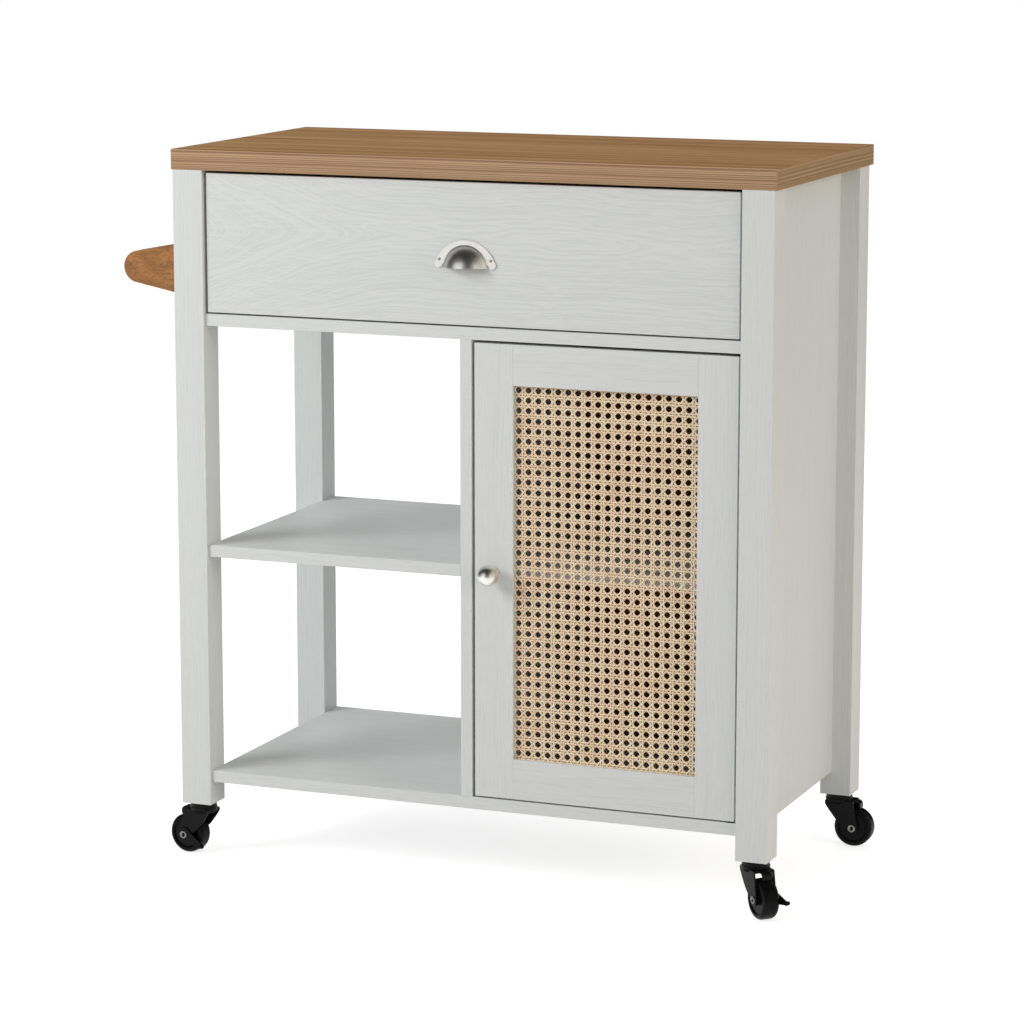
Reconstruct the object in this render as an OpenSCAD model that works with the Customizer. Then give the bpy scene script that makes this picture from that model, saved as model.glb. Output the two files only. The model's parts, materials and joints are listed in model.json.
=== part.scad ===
// Kitchen island cart: an open bay and a caned cabinet under a full-width drawer, a wooden top,
// a towel rail on the left side and four swivel casters, the front two with side brakes.
// +X is the cart's right, +Y its back and +Z up; the origin is on the floor, under the middle.

/* [Carcass] */
// Width over the outer faces of the legs
frame_w = 780; // [700:10:900]
// Depth over the outer faces of the legs
frame_d = 386; // [360:2:440]
// Height of the legs
leg_h = 806; // [790:1:840]
// Side of the square legs
leg_w = 40; // [38:1:46]
// Thickness of the carcass boards
board_t = 15; // [14:0.5:18]
// Height of the bottom shelf's underside over the feet of the legs
bottom_lift = 30; // [20:1:45]
// Clear height of the bays under the drawer
bay_h = 568; // [540:2:580]
// Clear height under the middle shelves
shelf_gap = 276; // [200:2:340]
// How far the shelves' front edges stand back from the legs
shelf_setback = 4; // [3:0.5:5]
// Thickness of the cabinet's back panel
back_t = 4; // [3:0.5:5]
// How far the cabinet's back panel stands in from the back
back_inset = 3; // [1:0.5:6]
// Play of the loose cabinet shelf at each end
shelf_play = 0.5; // [0.3:0.1:1]

/* [Worktop] */
// Thickness of the worktop
worktop_t = 25; // [18:1:38]
// Overhang of the worktop on the left and right
side_overhang = 3; // [0:1:20]
// Overhang of the worktop at the back
back_overhang = 10; // [8:1:20]
// Corner radius of the worktop in plan
worktop_corner_r = 3; // [1:0.5:10]

/* [Drawer] */
// How far the drawer front and the door stand back from the legs' front
front_inset = 5; // [4.5:0.5:8]
// Thickness of the drawer front and the door
front_t = 15; // [14:0.5:18]
// Gap beside and above the drawer front and the door
reveal = 3.5; // [2.5:0.25:4]
// Gap under the drawer front and the door
reveal_under = 2; // [1.5:0.25:3]
// Space between the drawer and the rear rail
drawer_rear_gap = 16; // [12:1:70]
// Thickness of the drawer's sides and back
drawer_side_t = 12; // [11:0.5:14]
// Space under the drawer's sides
drawer_lift = 12; // [8:1:20]
// Space over the drawer's sides
drawer_headroom = 26; // [25:1:40]
// Thickness of the drawer's bottom
drawer_floor_t = 4; // [3:0.5:6]
// Height of the drawer's bottom over its sides' lower edges
drawer_floor_lift = 8; // [6:1:12]
// Depth of the grooves that hold the drawer's bottom and join its boards
housing_d = 5; // [3:0.5:5]
// Space between the drawer's sides and the carcass
drawer_play = 4; // [3.5:0.25:5]
// Height of the runner strips
runner_h = 16; // [12:1:20]
// How far the runners reach into the drawer's sides
runner_bite = 8; // [6:0.5:8.5]
// Clearance of the runners in their grooves
runner_gap = 0.3; // [0.2:0.05:0.5]
// Distance of the runners' ends from the front and the back
runner_inset = 24; // [22:1:30]

/* [Door] */
// Width of the door's stiles and rails
stile_w = 50; // [40:1:60]
// Depth of the cane behind the door's front
cane_recess = 6; // [4:0.5:7]
// Thickness of the cane panel
cane_t = 1.5; // [1:0.25:2]
// Width of the rebate that holds the cane
cane_lap = 8; // [6:0.5:10]
// Clearance round the cane panel in its rebate
cane_gap = 0.3; // [0.2:0.1:0.5]
// Distance of the hinge axis from the door's hinge edge
hinge_edge = 7; // [6.5:0.25:7.25]
// Distance of the hinge axis behind the door's front
hinge_back = 6; // [5.75:0.25:6.25]
// Radius of the door's hinge pins
hinge_pin_r = 2.5; // [2:0.25:3]
// Depth of the hinge pins in the door
hinge_pin_depth = 25; // [15:1:40]
// Depth of the hinge bushes in the boards
bush_depth = 10; // [8:0.5:12]
// Wall of the hinge bushes
bush_wall = 2; // [1.5:0.25:2.5]
// Flange of the hinge bushes past their bodies
bush_flange = 1.5; // [1:0.25:1.5]
// Running clearance of pins and axles
run_gap = 0.05; // [0.03:0.01:0.08]

/* [Drawer pull] */
// Half width of the pull's cup
cup_half_w = 29.5; // [24:0.5:32]
// How far the cup stands out
cup_out = 20; // [16:0.5:26]
// Thickness of the pull's metal
cup_t = 1.5; // [1.25:0.25:2]
// Radius of the pull's flange
flange_r = 41; // [39:0.5:46]
// Height of the flange's centre under the cup's lower edge
flange_drop = 8; // [6:0.5:9]
// Thickness of the pull's flange
flange_t = 2; // [1.5:0.25:3]

/* [Knob] */
// Radius of the knob
knob_r = 13; // [10:0.5:16]
// How far the knob's centre stands out from the door
knob_reach = 19; // [17:0.5:24]
// Radius of the knob's foot
knob_foot_r = 8; // [7:0.5:12]
// Thickness of the knob's foot
knob_foot_t = 3; // [2:0.5:4]
// Radius of the knob's neck
knob_neck_r = 5.5; // [4.5:0.5:7]

/* [Towel rail] */
// Height of the brackets at the legs
bracket_h = 62; // [50:1:70]
// Radius of the brackets' round ends
bracket_end_r = 20; // [16:0.5:22]
// How far the rod's centre stands out from the legs
rail_reach = 55; // [45:1:80]
// Thickness of the brackets
bracket_t = 18; // [17:0.5:24]
// Distance of the rod's centre under the top of the legs
rail_drop = 124; // [121:1:146]
// Radius of the towel rod
rail_r = 7.5; // [6:0.5:10]
// Depth of the rod in each bracket
rail_seat = 12; // [8:1:14]

/* [Casters] */
// Height of the casters from floor to leg
caster_h = 69; // [66:0.5:76]
// Radius of the wheels
wheel_r = 25; // [20:0.5:26.5]
// Width of the wheels
wheel_w = 21; // [17:0.5:21.5]
// Radius of the wheels' rounded shoulders
shoulder_r = 5; // [2:0.5:6]
// Distance of the wheel's axle from the swivel axis
trail = 21; // [19:0.5:23]
// Radius of the round caps under the legs
cap_r = 17.5; // [16.5:0.25:18.5]
// Length of the threaded stems in the legs
stem_l = 26; // [18:1:28]
// Radius of the fork's swivel cup
cup_r = 17.5; // [16.5:0.25:18.5]
// Thickness of the fork's sides
fork_t = 2; // [1.5:0.25:2]
// Gap between wheel and fork on each side
fork_gap = 1.5; // [1.25:0.25:2]
// Radius of the axles
axle_r = 3; // [2.5:0.25:3.5]
// Radius of the axles' heads
axle_head_r = 5; // [4.5:0.25:6]
// Radius of the hole through each axle
axle_hole_r = 1.8; // [1:0.1:2]
// Length of the brake levers from the axle
lever_len = 33; // [28:0.5:33.5]
// How far the brake pedals stand out from their levers
pedal_out = 4; // [3:0.5:6]
// Thickness of the brake levers
lever_t = 2; // [1.5:0.25:2.5]
// Trailing direction of the front left caster, in degrees from +X
swivel_front_left = 172; // [170:1:190]
// Trailing direction of the front right caster
swivel_front_right = -45; // [-50:1:-40]
// Trailing direction of the rear left caster
swivel_rear_left = 165; // [165:1:190]
// Trailing direction of the rear right caster
swivel_rear_right = 0; // [-5:1:10]
// Turn of the front left brake lever from its level, trailing place
lever_turn_left = 205; // [190:1:208]

/* [Hidden] */
$fn = 48;

// Clearances
slip = 0.05;       // round a dowel, screw or pin in its hole
rest_gap = 0.3;    // between pieces of two bodies that nearly touch
cut = 1;           // how far a cutting solid passes a face

// Radius of the brake levers' round tips
lever_tip_r = 3;

// How far the cart reaches from the carcass's middle and from the legs' front plane
wheel_reach = trail + wheel_r;
pedal_reach = trail + lever_len - lever_tip_r + lever_t / 2;
pedal_side = wheel_w / 2 + fork_gap + fork_t + rest_gap + lever_t + pedal_out;
reach_left = frame_w / 2 + rail_reach + bracket_end_r;
reach_right = max(
    frame_w / 2 + side_overhang,
    frame_w / 2 - leg_w / 2 + wheel_reach,
    frame_w / 2 - leg_w / 2 + pedal_reach * cos(swivel_front_right)
        - pedal_side * sin(swivel_front_right));
reach_front = max(knob_reach + knob_r, cup_out) - front_inset;
reach_back = frame_d + back_overhang;

// Places of the carcass
mid_x = (reach_left - reach_right) / 2;
front = -(reach_back - reach_front) / 2;
back = front + frame_d;
left_out = mid_x - frame_w / 2;
right_out = mid_x + frame_w / 2;
left_in = left_out + leg_w;
right_in = right_out - leg_w;
left_cx = left_out + leg_w / 2;
right_cx = right_out - leg_w / 2;
front_cy = front + leg_w / 2;
rear_cy = back - leg_w / 2;
shelf_front = front + shelf_setback;
divider_left = mid_x - board_t / 2;
divider_right = mid_x + board_t / 2;
feet_z = caster_h;
bottom_z = feet_z + bottom_lift;
floor_z = bottom_z + board_t;
shelf_z = floor_z + shelf_gap;
deck_z = floor_z + bay_h;
deck_top = deck_z + board_t;
top_z = feet_z + leg_h;
rod_z = top_z - rail_drop;

// Drawer and door
face = front + front_inset;
face_back = face + front_t;
drawer_z = deck_top + reveal_under;
drawer_top = top_z - reveal;
drawer_mid = (drawer_z + drawer_top) / 2;
side_z = deck_top + drawer_lift;
side_top = top_z - drawer_headroom;
box_left = left_in + drawer_play;
box_right = right_in - drawer_play;
box_back = back - board_t - drawer_rear_gap;
drawer_floor_z = side_z + drawer_floor_lift;
runner_z = (side_z + side_top) / 2 - runner_h / 2;
runner_reach = drawer_play + runner_bite;
runner_front = front + runner_inset;
runner_back = back - runner_inset;
door_left = divider_right + reveal;
door_right = right_in - reveal;
door_z = floor_z + reveal_under;
door_top = deck_z - reveal;
door_mid = (door_z + door_top) / 2;
open_left = door_left + stile_w;
open_right = door_right - stile_w;
open_z = door_z + stile_w;
open_top = door_top - stile_w;
cane_y = face + cane_recess;
hinge_x = door_right - hinge_edge;
hinge_y = face + hinge_back;

// Fasteners
dowel_r = 3;
dowel_l = 20;
dowel_inset = 26;
door_dowel_l = 40;
wood_screw_r = 1.75;
wood_screw_head_r = 3.5;
wood_screw_head_h = 2;
shelf_pin_r = 2.5;
shelf_pin_l = 16;
shelf_pin_inset = 70;
angle_t = 2;
angle_leg = 20;
angle_w = 16;
angle_hole = 13;
angle_inset = 110;
rail_screw_sink = 5;
rail_screw_bite = 20;
rail_screw_step = 12;
catch_w = 14;
catch_h = 34;
catch_depth = 16;
catch_drop = 16;
catch_plate_t = 1.2;
catch_plate_h = 26;
catch_stud_l = 7;

// Drawer pull, about the middle of the drawer front
cup_rise = flange_r - flange_drop;
cup_end_r = 5;
cup_base_z = drawer_mid - (cup_rise - 1) / 2;
cup_ball_r = (cup_half_w * cup_half_w + cup_out * cup_out) / (2 * cup_out);
cup_ball_drop = 1.5;
pull_screw_x = cup_half_w + 4;
pull_screw_z = 9;
pull_screw_r = 1.5;
pull_screw_head_r = 2.6;
pull_screw_head_h = 1.2;
pull_screw_l = 12;
knob_x = door_left + stile_w / 2;
knob_screw_r = 2;
knob_screw_head_r = 4;
knob_screw_bite = 12;
knob_screw_sink = 2.5;

// Casters, each drawn about its swivel axis with the wheel trailing along +X
caster_places = [
    [left_cx, front_cy, swivel_front_left],
    [right_cx, front_cy, swivel_front_right],
    [left_cx, rear_cy, swivel_rear_left],
    [right_cx, rear_cy, swivel_rear_right]
];
cap_h = 5.4;
race_z = caster_h - cap_h;
swivel_cup_top = race_z - rest_gap;
swivel_cup_h = 6.4;
crown_t = 2.5;
crown_z = swivel_cup_top - swivel_cup_h;
crown_top = crown_z + crown_t;
ball_r = 1.5;
ball_count = 12;
ball_ring_r = 10.2;
ball_z = race_z - rest_gap / 2;
stem_r = 4;
stem_head_r = 7;
stem_head_h = 2;
socket_r = 6;
socket_l = stem_l + 1;
fork_in = wheel_w / 2 + fork_gap;
fork_out = fork_in + fork_t;
fork_end_r = 8;
fork_lead_x = -15;
fork_tail_x = trail + 1;
tab_w = 12;
tab_low = 2 * wheel_r;
axle_head_t = 1.2;
lever_in = fork_out + rest_gap;
lever_out = lever_in + lever_t;
lever_hub_r = 9;
lever_step = 0.5;
pedal_r = 2.5;

// Centre and turn of each dowel in the carcass, half of it in either board
dowel_y = [front + dowel_inset, back - dowel_inset];
dowel_spots = [
    for (x = [left_in, right_in], y = dowel_y, z = [bottom_z, deck_z])
        [[x, y, z + board_t / 2], [0, 90, 0]],
    for (x = [left_in, divider_left], y = dowel_y)
        [[x, y, shelf_z + board_t / 2], [0, 90, 0]],
    for (y = dowel_y, z = [floor_z, deck_z])
        [[mid_x, y, z], [0, 0, 0]],
    for (x = [left_in, right_in], share = [0.25, 0.75])
        [[x, back - board_t / 2, between(deck_top, top_z, share)], [0, 90, 0]],
    for (y = [front + leg_w, back - leg_w], share = [0.25, 0.75])
        [[left_in - board_t / 2, y, between(deck_z, top_z, share)], [90, 0, 0]],
    for (y = [front + leg_w, back - leg_w], share = [0.15, 0.5, 0.85])
        [[right_in + board_t / 2, y, between(bottom_z, top_z, share)], [90, 0, 0]],
    for (x = [left_cx, right_cx], y = [front_cy, rear_cy])
        [[x, y, top_z], [0, 0, 0]]
];

// Centre of each dowel between the door's rails and stiles
door_dowel_spots = [
    for (x = [open_left, open_right], z = [door_z, door_top - stile_w], share = [0.25, 0.75])
        [x, face + front_t / 2, z + stile_w * share]
];

// Corner, turn about Z of each angle that holds the worktop; the board is on its -X side
angle_spots = [
    for (y = [front + angle_inset, back - angle_inset]) [[left_in, y, top_z], 0],
    for (y = [front + angle_inset, back - angle_inset]) [[right_in, y, top_z], 180],
    for (x = [left_in + angle_inset, right_in - angle_inset]) [[x, back - board_t, top_z], -90]
];

// Each wood screw: centre of its head's outer face, turn of its tip from -Z, length
runner_screw_y = [runner_front + 6, (runner_front + runner_back) / 2, runner_back - 6];
wood_screw_spots = [
    for (y = runner_screw_y)
        [[left_in + runner_reach, y, runner_z + runner_h / 2], [0, 90, 0], runner_reach + 9],
    for (y = runner_screw_y)
        [[right_in - runner_reach, y, runner_z + runner_h / 2], [0, -90, 0], runner_reach + 9],
    for (y = [front_cy, rear_cy], step = [-1, 1])
        [[left_in - rail_screw_sink, y, rod_z + step * rail_screw_step], [0, 90, 0],
            leg_w - rail_screw_sink + rail_screw_bite],
    for (step = [-1, 1])
        [[divider_right + catch_w, face_back + catch_plate_t + rest_gap + catch_depth / 2,
            deck_z - catch_drop - catch_h / 2 + step * 10], [0, 90, 0], catch_w + 8]
];

function between(a, b, share) = a + (b - a) * share;

// Points where the bracket's straight edges meet its round end, from the end's centre
function tangent_angle(reach, half, r) =
    atan2(half, reach) + acos(r / sqrt(reach * reach + half * half));

// Colours
oak = [0.65, 0.47, 0.30];
white_foil = [0.86, 0.87, 0.86];
birch = [0.86, 0.76, 0.60];
nickel = [0.72, 0.70, 0.66];
steel = [0.70, 0.71, 0.73];
black = [0.10, 0.10, 0.11];
tan_cane = [0.80, 0.66, 0.46];

// A cuboid from its lowest corner to its highest
module block(low, high) {
    translate(low) cube(high - low);
}

// Every carcass dowel, or its hole when grown
module dowel_set(grow) {
    for (spot = dowel_spots)
        translate(spot[0])
            rotate(spot[1])
                cylinder(r = dowel_r + grow, h = dowel_l + 2 * grow, center = true);
}

module door_dowel_set(grow) {
    for (spot = door_dowel_spots)
        translate(spot)
            rotate([0, 90, 0])
                cylinder(r = dowel_r + grow, h = door_dowel_l + 2 * grow, center = true);
}

// A countersunk wood screw with its head's face at the origin and its tip down
module wood_screw(l, grow) {
    translate([0, 0, -l - grow])
        cylinder(r = wood_screw_r + grow, h = l + grow);
    translate([0, 0, -wood_screw_head_h])
        cylinder(r1 = wood_screw_r + grow, r2 = wood_screw_head_r + grow, h = wood_screw_head_h);
}

// A pan-headed screw with its head's underside at the origin and its tip down
module pan_screw(shank_r, head_r, head_h, l, grow) {
    translate([0, 0, -l - grow])
        cylinder(r = shank_r + grow, h = l + grow + head_h / 2);
    if (grow == 0)
        difference() {
            cylinder(r1 = head_r, r2 = head_r * 0.7, h = head_h);
            translate([0, 0, head_h / 2])
                cylinder(r1 = head_r * 0.1, r2 = head_r * 0.35, h = head_h / 2 + 0.01);
        }
}

module wood_screw_set(grow) {
    for (spot = wood_screw_spots)
        translate(spot[0])
            rotate(spot[1])
                wood_screw(spot[2], grow);
}

// The driver's way to the sunk towel rail screws
module rail_screw_pockets() {
    for (y = [front_cy, rear_cy], step = [-1, 1])
        translate([left_in - rail_screw_sink, y, rod_z + step * rail_screw_step])
            rotate([0, 90, 0])
                cylinder(r = wood_screw_head_r + slip, h = rail_screw_sink + cut);
}

// The two screws of each worktop angle
module angle_screw_set(grow) {
    for (spot = angle_spots)
        translate(spot[0])
            rotate([0, 0, spot[1]]) {
                translate([angle_hole, 0, -angle_t])
                    rotate([180, 0, 0])
                        pan_screw(wood_screw_r, wood_screw_head_r, wood_screw_head_h, 12, grow);
                translate([angle_t, 0, -angle_hole])
                    rotate([0, 90, 0])
                        pan_screw(wood_screw_r, wood_screw_head_r, wood_screw_head_h, 12, grow);
            }
}

// Holes in the legs' feet for the sleeves that hold the casters' stems
module socket_seat_set() {
    for (place = caster_places)
        translate([place[0], place[1], caster_h - cut])
            cylinder(r = socket_r + slip, h = socket_l + slip + cut);
}

module shelf_pin_set(grow) {
    for (x = [divider_right, right_in], y = [front + shelf_pin_inset, back - shelf_pin_inset])
        translate([x, y, shelf_z - shelf_pin_r])
            rotate([0, 90, 0])
                cylinder(r = shelf_pin_r + grow, h = shelf_pin_l + 2 * grow, center = true);
}

// A carcass board with every hole that meets it
module drilled_board(low, high) {
    difference() {
        block(low, high);
        dowel_set(slip);
        wood_screw_set(slip);
        angle_screw_set(slip);
        shelf_pin_set(slip);
        socket_seat_set();
        rail_screw_pockets();
    }
}

module worktop() {
    w = frame_w + 2 * side_overhang;
    d = frame_d + back_overhang;
    color(oak)
        difference() {
            translate([left_out - side_overhang, front, top_z])
                linear_extrude(worktop_t) {
                    translate([worktop_corner_r, 0])
                        square([w - 2 * worktop_corner_r, d]);
                    translate([0, worktop_corner_r])
                        square([w, d - 2 * worktop_corner_r]);
                    for (x = [worktop_corner_r, w - worktop_corner_r])
                        for (y = [worktop_corner_r, d - worktop_corner_r])
                            translate([x, y]) circle(r = worktop_corner_r);
                }
            dowel_set(slip);
            angle_screw_set(slip);
        }
}

module leg(x, y) {
    color(white_foil)
        drilled_board([x - leg_w / 2, y - leg_w / 2, feet_z],
            [x + leg_w / 2, y + leg_w / 2, top_z]);
}

module leg_front_left() { leg(left_cx, front_cy); }
module leg_front_right() { leg(right_cx, front_cy); }
module leg_rear_left() { leg(left_cx, rear_cy); }
module leg_rear_right() { leg(right_cx, rear_cy); }

module side_panel_right() {
    color(white_foil)
        drilled_board([right_in, front + leg_w, bottom_z],
            [right_in + board_t, back - leg_w, top_z]);
}

module apron_left() {
    color(white_foil)
        drilled_board([left_in - board_t, front + leg_w, deck_z],
            [left_in, back - leg_w, top_z]);
}

module rear_rail() {
    color(white_foil)
        drilled_board([left_in, back - board_t, deck_top], [right_in, back, top_z]);
}

// A hinge bush or its seat: the body runs away from the door, the flange faces it
module bush_body(grow) {
    cylinder(r = hinge_pin_r + run_gap + bush_wall + grow, h = bush_depth + grow);
}

module drawer_deck() {
    color(white_foil)
        difference() {
            drilled_board([left_in, shelf_front, deck_z], [right_in, back, deck_top]);
            translate([hinge_x, hinge_y, deck_z - 0.01]) bush_body(slip);
        }
}

module bottom_shelf() {
    color(white_foil)
        difference() {
            drilled_board([left_in, shelf_front, bottom_z], [right_in, back, floor_z]);
            translate([hinge_x, hinge_y, floor_z + 0.01]) mirror([0, 0, 1]) bush_body(slip);
        }
}

module divider_panel() {
    color(white_foil)
        drilled_board([divider_left, shelf_front, floor_z], [divider_right, back, deck_z]);
}

module left_shelf() {
    color(white_foil)
        drilled_board([left_in, shelf_front, shelf_z],
            [divider_left, back, shelf_z + board_t]);
}

module cabinet_shelf() {
    color(white_foil)
        block([divider_right + shelf_play, face_back + shelf_setback, shelf_z],
            [right_in - shelf_play, back - back_inset - back_t - shelf_play, shelf_z + board_t]);
}

module cabinet_back() {
    color(white_foil)
        block([divider_right, back - back_inset - back_t, floor_z],
            [right_in, back - back_inset, deck_z]);
}

// The bracket's outline: its round end at the origin and its straight base at +X
module bracket_outline() {
    half = bracket_h / 2;
    a = 180 - (180 - tangent_angle(rail_reach, half, bracket_end_r));
    meet = [bracket_end_r * cos(a), bracket_end_r * sin(a)];
    circle(r = bracket_end_r);
    polygon([[rail_reach, -half], [rail_reach, half], meet, [meet[0], -meet[1]]]);
}

module towel_bracket(y, inward) {
    color(oak)
        difference() {
            translate([left_out - rail_reach, y + bracket_t / 2, rod_z])
                rotate([90, 0, 0])
                    linear_extrude(bracket_t) bracket_outline();
            translate([left_out - rail_reach, y + inward * (bracket_t / 2 - rail_seat - slip), rod_z])
                rotate([-90 * inward, 0, 0])
                    cylinder(r = rail_r + slip, h = rail_seat + slip + cut);
            wood_screw_set(slip);
        }
}

module towel_bracket_front() { towel_bracket(front_cy, 1); }
module towel_bracket_rear() { towel_bracket(rear_cy, -1); }

module towel_rod() {
    start = front_cy + bracket_t / 2 - rail_seat;
    stop = rear_cy - bracket_t / 2 + rail_seat;
    color(oak)
        translate([left_out - rail_reach, start, rod_z])
            rotate([-90, 0, 0])
                cylinder(r = rail_r, h = stop - start);
}

module carcass_dowels() { color(birch) dowel_set(0); }
module shelf_pins() { color(steel) shelf_pin_set(0); }

module worktop_brackets() {
    color(steel)
        difference() {
            for (spot = angle_spots)
                translate(spot[0])
                    rotate([0, 0, spot[1]]) {
                        block([0, -angle_w / 2, -angle_t], [angle_leg, angle_w / 2, 0]);
                        block([0, -angle_w / 2, -angle_leg], [angle_t, angle_w / 2, 0]);
                    }
            angle_screw_set(slip);
        }
}

module wood_screws() {
    color(steel) {
        wood_screw_set(0);
        angle_screw_set(0);
    }
}

module drawer_runners() {
    color(birch)
        for (side = [0, 1])
            difference() {
                translate([side == 0 ? left_in : right_in - runner_reach, runner_front, runner_z])
                    cube([runner_reach, runner_back - runner_front, runner_h]);
                wood_screw_set(slip);
            }
}

// One bush: body in the board, flange against it, bore through both
module door_bush(flange_h) {
    difference() {
        union() {
            bush_body(0);
            translate([0, 0, -flange_h])
                cylinder(r = hinge_pin_r + run_gap + bush_wall + bush_flange, h = flange_h);
        }
        translate([0, 0, -flange_h - cut])
            cylinder(r = hinge_pin_r + run_gap, h = flange_h + bush_depth + 2 * cut);
    }
}

module door_bushes() {
    color(birch) {
        translate([hinge_x, hinge_y, deck_z])
            door_bush(reveal - rest_gap);
        translate([hinge_x, hinge_y, floor_z])
            mirror([0, 0, 1])
                door_bush(reveal_under - rest_gap);
    }
}

module catch_housing() {
    low_z = deck_z - catch_drop - catch_h;
    y = face_back + catch_plate_t + rest_gap;
    color(black)
        difference() {
            block([divider_right, y, low_z],
                [divider_right + catch_w, y + catch_depth, low_z + catch_h]);
            wood_screw_set(slip);
        }
}

// Round cap with its ball race, and the threaded stem it is riveted on, through the fork
module caster_stem() {
    stem_z = crown_z - rest_gap - stem_head_h;
    difference() {
        rotate_extrude()
            polygon([
                [0, race_z], [cap_r - 1.2, race_z], [cap_r, race_z + 1.2],
                [cap_r, caster_h - 1.8], [cap_r - 2.5, caster_h], [0, caster_h]
            ]);
        translate([0, 0, ball_z])
            rotate_extrude()
                translate([ball_ring_r, 0]) circle(r = ball_r + rest_gap);
    }
    translate([0, 0, stem_z]) cylinder(r = stem_head_r, h = stem_head_h);
    translate([0, 0, stem_z]) cylinder(r = stem_r, h = caster_h + stem_l - stem_z);
}

module caster_stems() {
    color(black)
        for (place = caster_places)
            translate([place[0], place[1], 0]) caster_stem();
}

module stem_sockets() {
    color(steel)
        for (place = caster_places)
            translate([place[0], place[1], caster_h])
                difference() {
                    cylinder(r = socket_r, h = socket_l);
                    translate([0, 0, -cut])
                        cylinder(r = stem_r + slip, h = socket_l + 2 * cut);
                }
}

module swivel_balls() {
    color(steel)
        for (place = caster_places, i = [0:ball_count - 1])
            translate([place[0], place[1], ball_z])
                rotate([0, 0, i * 360 / ball_count])
                    translate([ball_ring_r, 0, 0])
                        sphere(r = ball_r);
}

// Space of the drawer's bottom panel in the grooves round it
module drawer_floor(grow) {
    block([box_left + drawer_side_t - housing_d - grow, face_back - housing_d - grow,
            drawer_floor_z - grow],
        [box_right - drawer_side_t + housing_d + grow, box_back - drawer_side_t + housing_d + grow,
            drawer_floor_z + drawer_floor_t + grow]);
}

module drawer_side_block(x, grow) {
    block([x - grow, face_back - housing_d - grow, side_z - grow],
        [x + drawer_side_t + grow, box_back, side_top + grow]);
}

module pull_screw_set(grow) {
    for (side = [-1, 1])
        translate([mid_x + side * pull_screw_x, face - flange_t, cup_base_z + pull_screw_z])
            rotate([90, 0, 0])
                pan_screw(pull_screw_r, pull_screw_head_r, pull_screw_head_h, pull_screw_l, grow);
}

module drawer_front() {
    color(white_foil)
        difference() {
            block([left_in + reveal, face, drawer_z], [right_in - reveal, face_back, drawer_top]);
            drawer_floor(slip);
            drawer_side_block(box_left, slip);
            drawer_side_block(box_right - drawer_side_t, slip);
            pull_screw_set(slip);
        }
}

module drawer_side(x, groove_x) {
    color(white_foil)
        difference() {
            drawer_side_block(x, 0);
            drawer_floor(slip);
            translate([groove_x, runner_front - cut, runner_z - runner_gap])
                cube([runner_bite + runner_gap + cut, box_back - runner_front + 2 * cut,
                    runner_h + 2 * runner_gap]);
        }
}

module drawer_side_left() { drawer_side(box_left, box_left - cut); }
module drawer_side_right() {
    drawer_side(box_right - drawer_side_t, box_right - runner_bite - runner_gap);
}

module drawer_back() {
    color(white_foil)
        difference() {
            block([box_left + drawer_side_t, box_back - drawer_side_t, side_z],
                [box_right - drawer_side_t, box_back, side_top]);
            drawer_floor(slip);
        }
}

module drawer_bottom() { color(white_foil) drawer_floor(0); }

// Outline of the pull's flange, with the cup's lower edge on the X axis
module flange_outline() {
    intersection() {
        translate([0, -flange_drop]) circle(r = flange_r);
        translate([-flange_r, cup_end_r - 1])
            square([2 * flange_r, flange_r]);
    }
    end_x = sqrt(flange_r * flange_r - pow(flange_drop + cup_end_r - 1, 2)) - cup_end_r + 0.5;
    for (side = [-1, 1])
        translate([side * end_x, cup_end_r - 1]) circle(r = cup_end_r);
}

module cup_pull() {
    color(nickel)
        difference() {
            translate([mid_x, face, cup_base_z])
                difference() {
                    union() {
                        rotate([90, 0, 0])
                            linear_extrude(flange_t) flange_outline();
                        intersection() {
                            translate([0, cup_ball_r - cup_out, -cup_ball_drop])
                                sphere(r = cup_ball_r, $fn = 96);
                            translate([-flange_r, -cup_out - cut, 0])
                                cube([2 * flange_r, cup_out + cut, flange_r]);
                        }
                    }
                    translate([0, cup_ball_r - cup_out, -cup_ball_drop])
                        sphere(r = cup_ball_r - cup_t, $fn = 96);
                }
            pull_screw_set(slip);
        }
}

module pull_screws() { color(nickel) pull_screw_set(0); }

module cane_rebate() {
    block([open_left - cane_lap, cane_y, open_z - cane_lap],
        [open_right + cane_lap, face_back + cut, open_top + cane_lap]);
}

// A hinge pin's hole, or the pin itself, at the door's top and bottom
module hinge_pin_set(grow) {
    for (end = [0, 1])
        translate([hinge_x, hinge_y, end == 0 ? door_z : door_top])
            mirror([0, 0, 1 - end])
                translate([0, 0, -hinge_pin_depth - grow])
                    cylinder(r = hinge_pin_r + grow, h = hinge_pin_depth + bush_depth + grow);
}

module knob_screw_shape(grow) {
    translate([knob_x, face_back - knob_screw_sink, door_mid])
        rotate([-90, 0, 0]) {
            cylinder(r = knob_screw_head_r + grow, h = knob_screw_sink + (grow > 0 ? cut : -0.3));
            translate([0, 0, -front_t + knob_screw_sink - knob_screw_bite - grow])
                cylinder(r = knob_screw_r + grow,
                    h = front_t - knob_screw_sink + knob_screw_bite + grow);
        }
}

module catch_plate_shape(grow) {
    x = divider_right + catch_w / 2 + reveal;
    z = deck_z - catch_drop - catch_h / 2;
    translate([x, face_back - catch_stud_l - grow, z])
        rotate([-90, 0, 0])
            cylinder(r = 1.5 + grow, h = catch_stud_l + grow + 0.1);
    if (grow == 0)
        block([x - catch_w / 2 + 0.5, face_back, z - catch_plate_h / 2],
            [x + catch_w / 2, face_back + catch_plate_t, z + catch_plate_h / 2]);
}

module door_frame_piece(low, high) {
    color(white_foil)
        difference() {
            block(low, high);
            cane_rebate();
            door_dowel_set(slip);
            hinge_pin_set(slip);
            knob_screw_shape(slip);
            catch_plate_shape(slip);
        }
}

module door_stile_left() {
    door_frame_piece([door_left, face, door_z], [open_left, face_back, door_top]);
}

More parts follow.
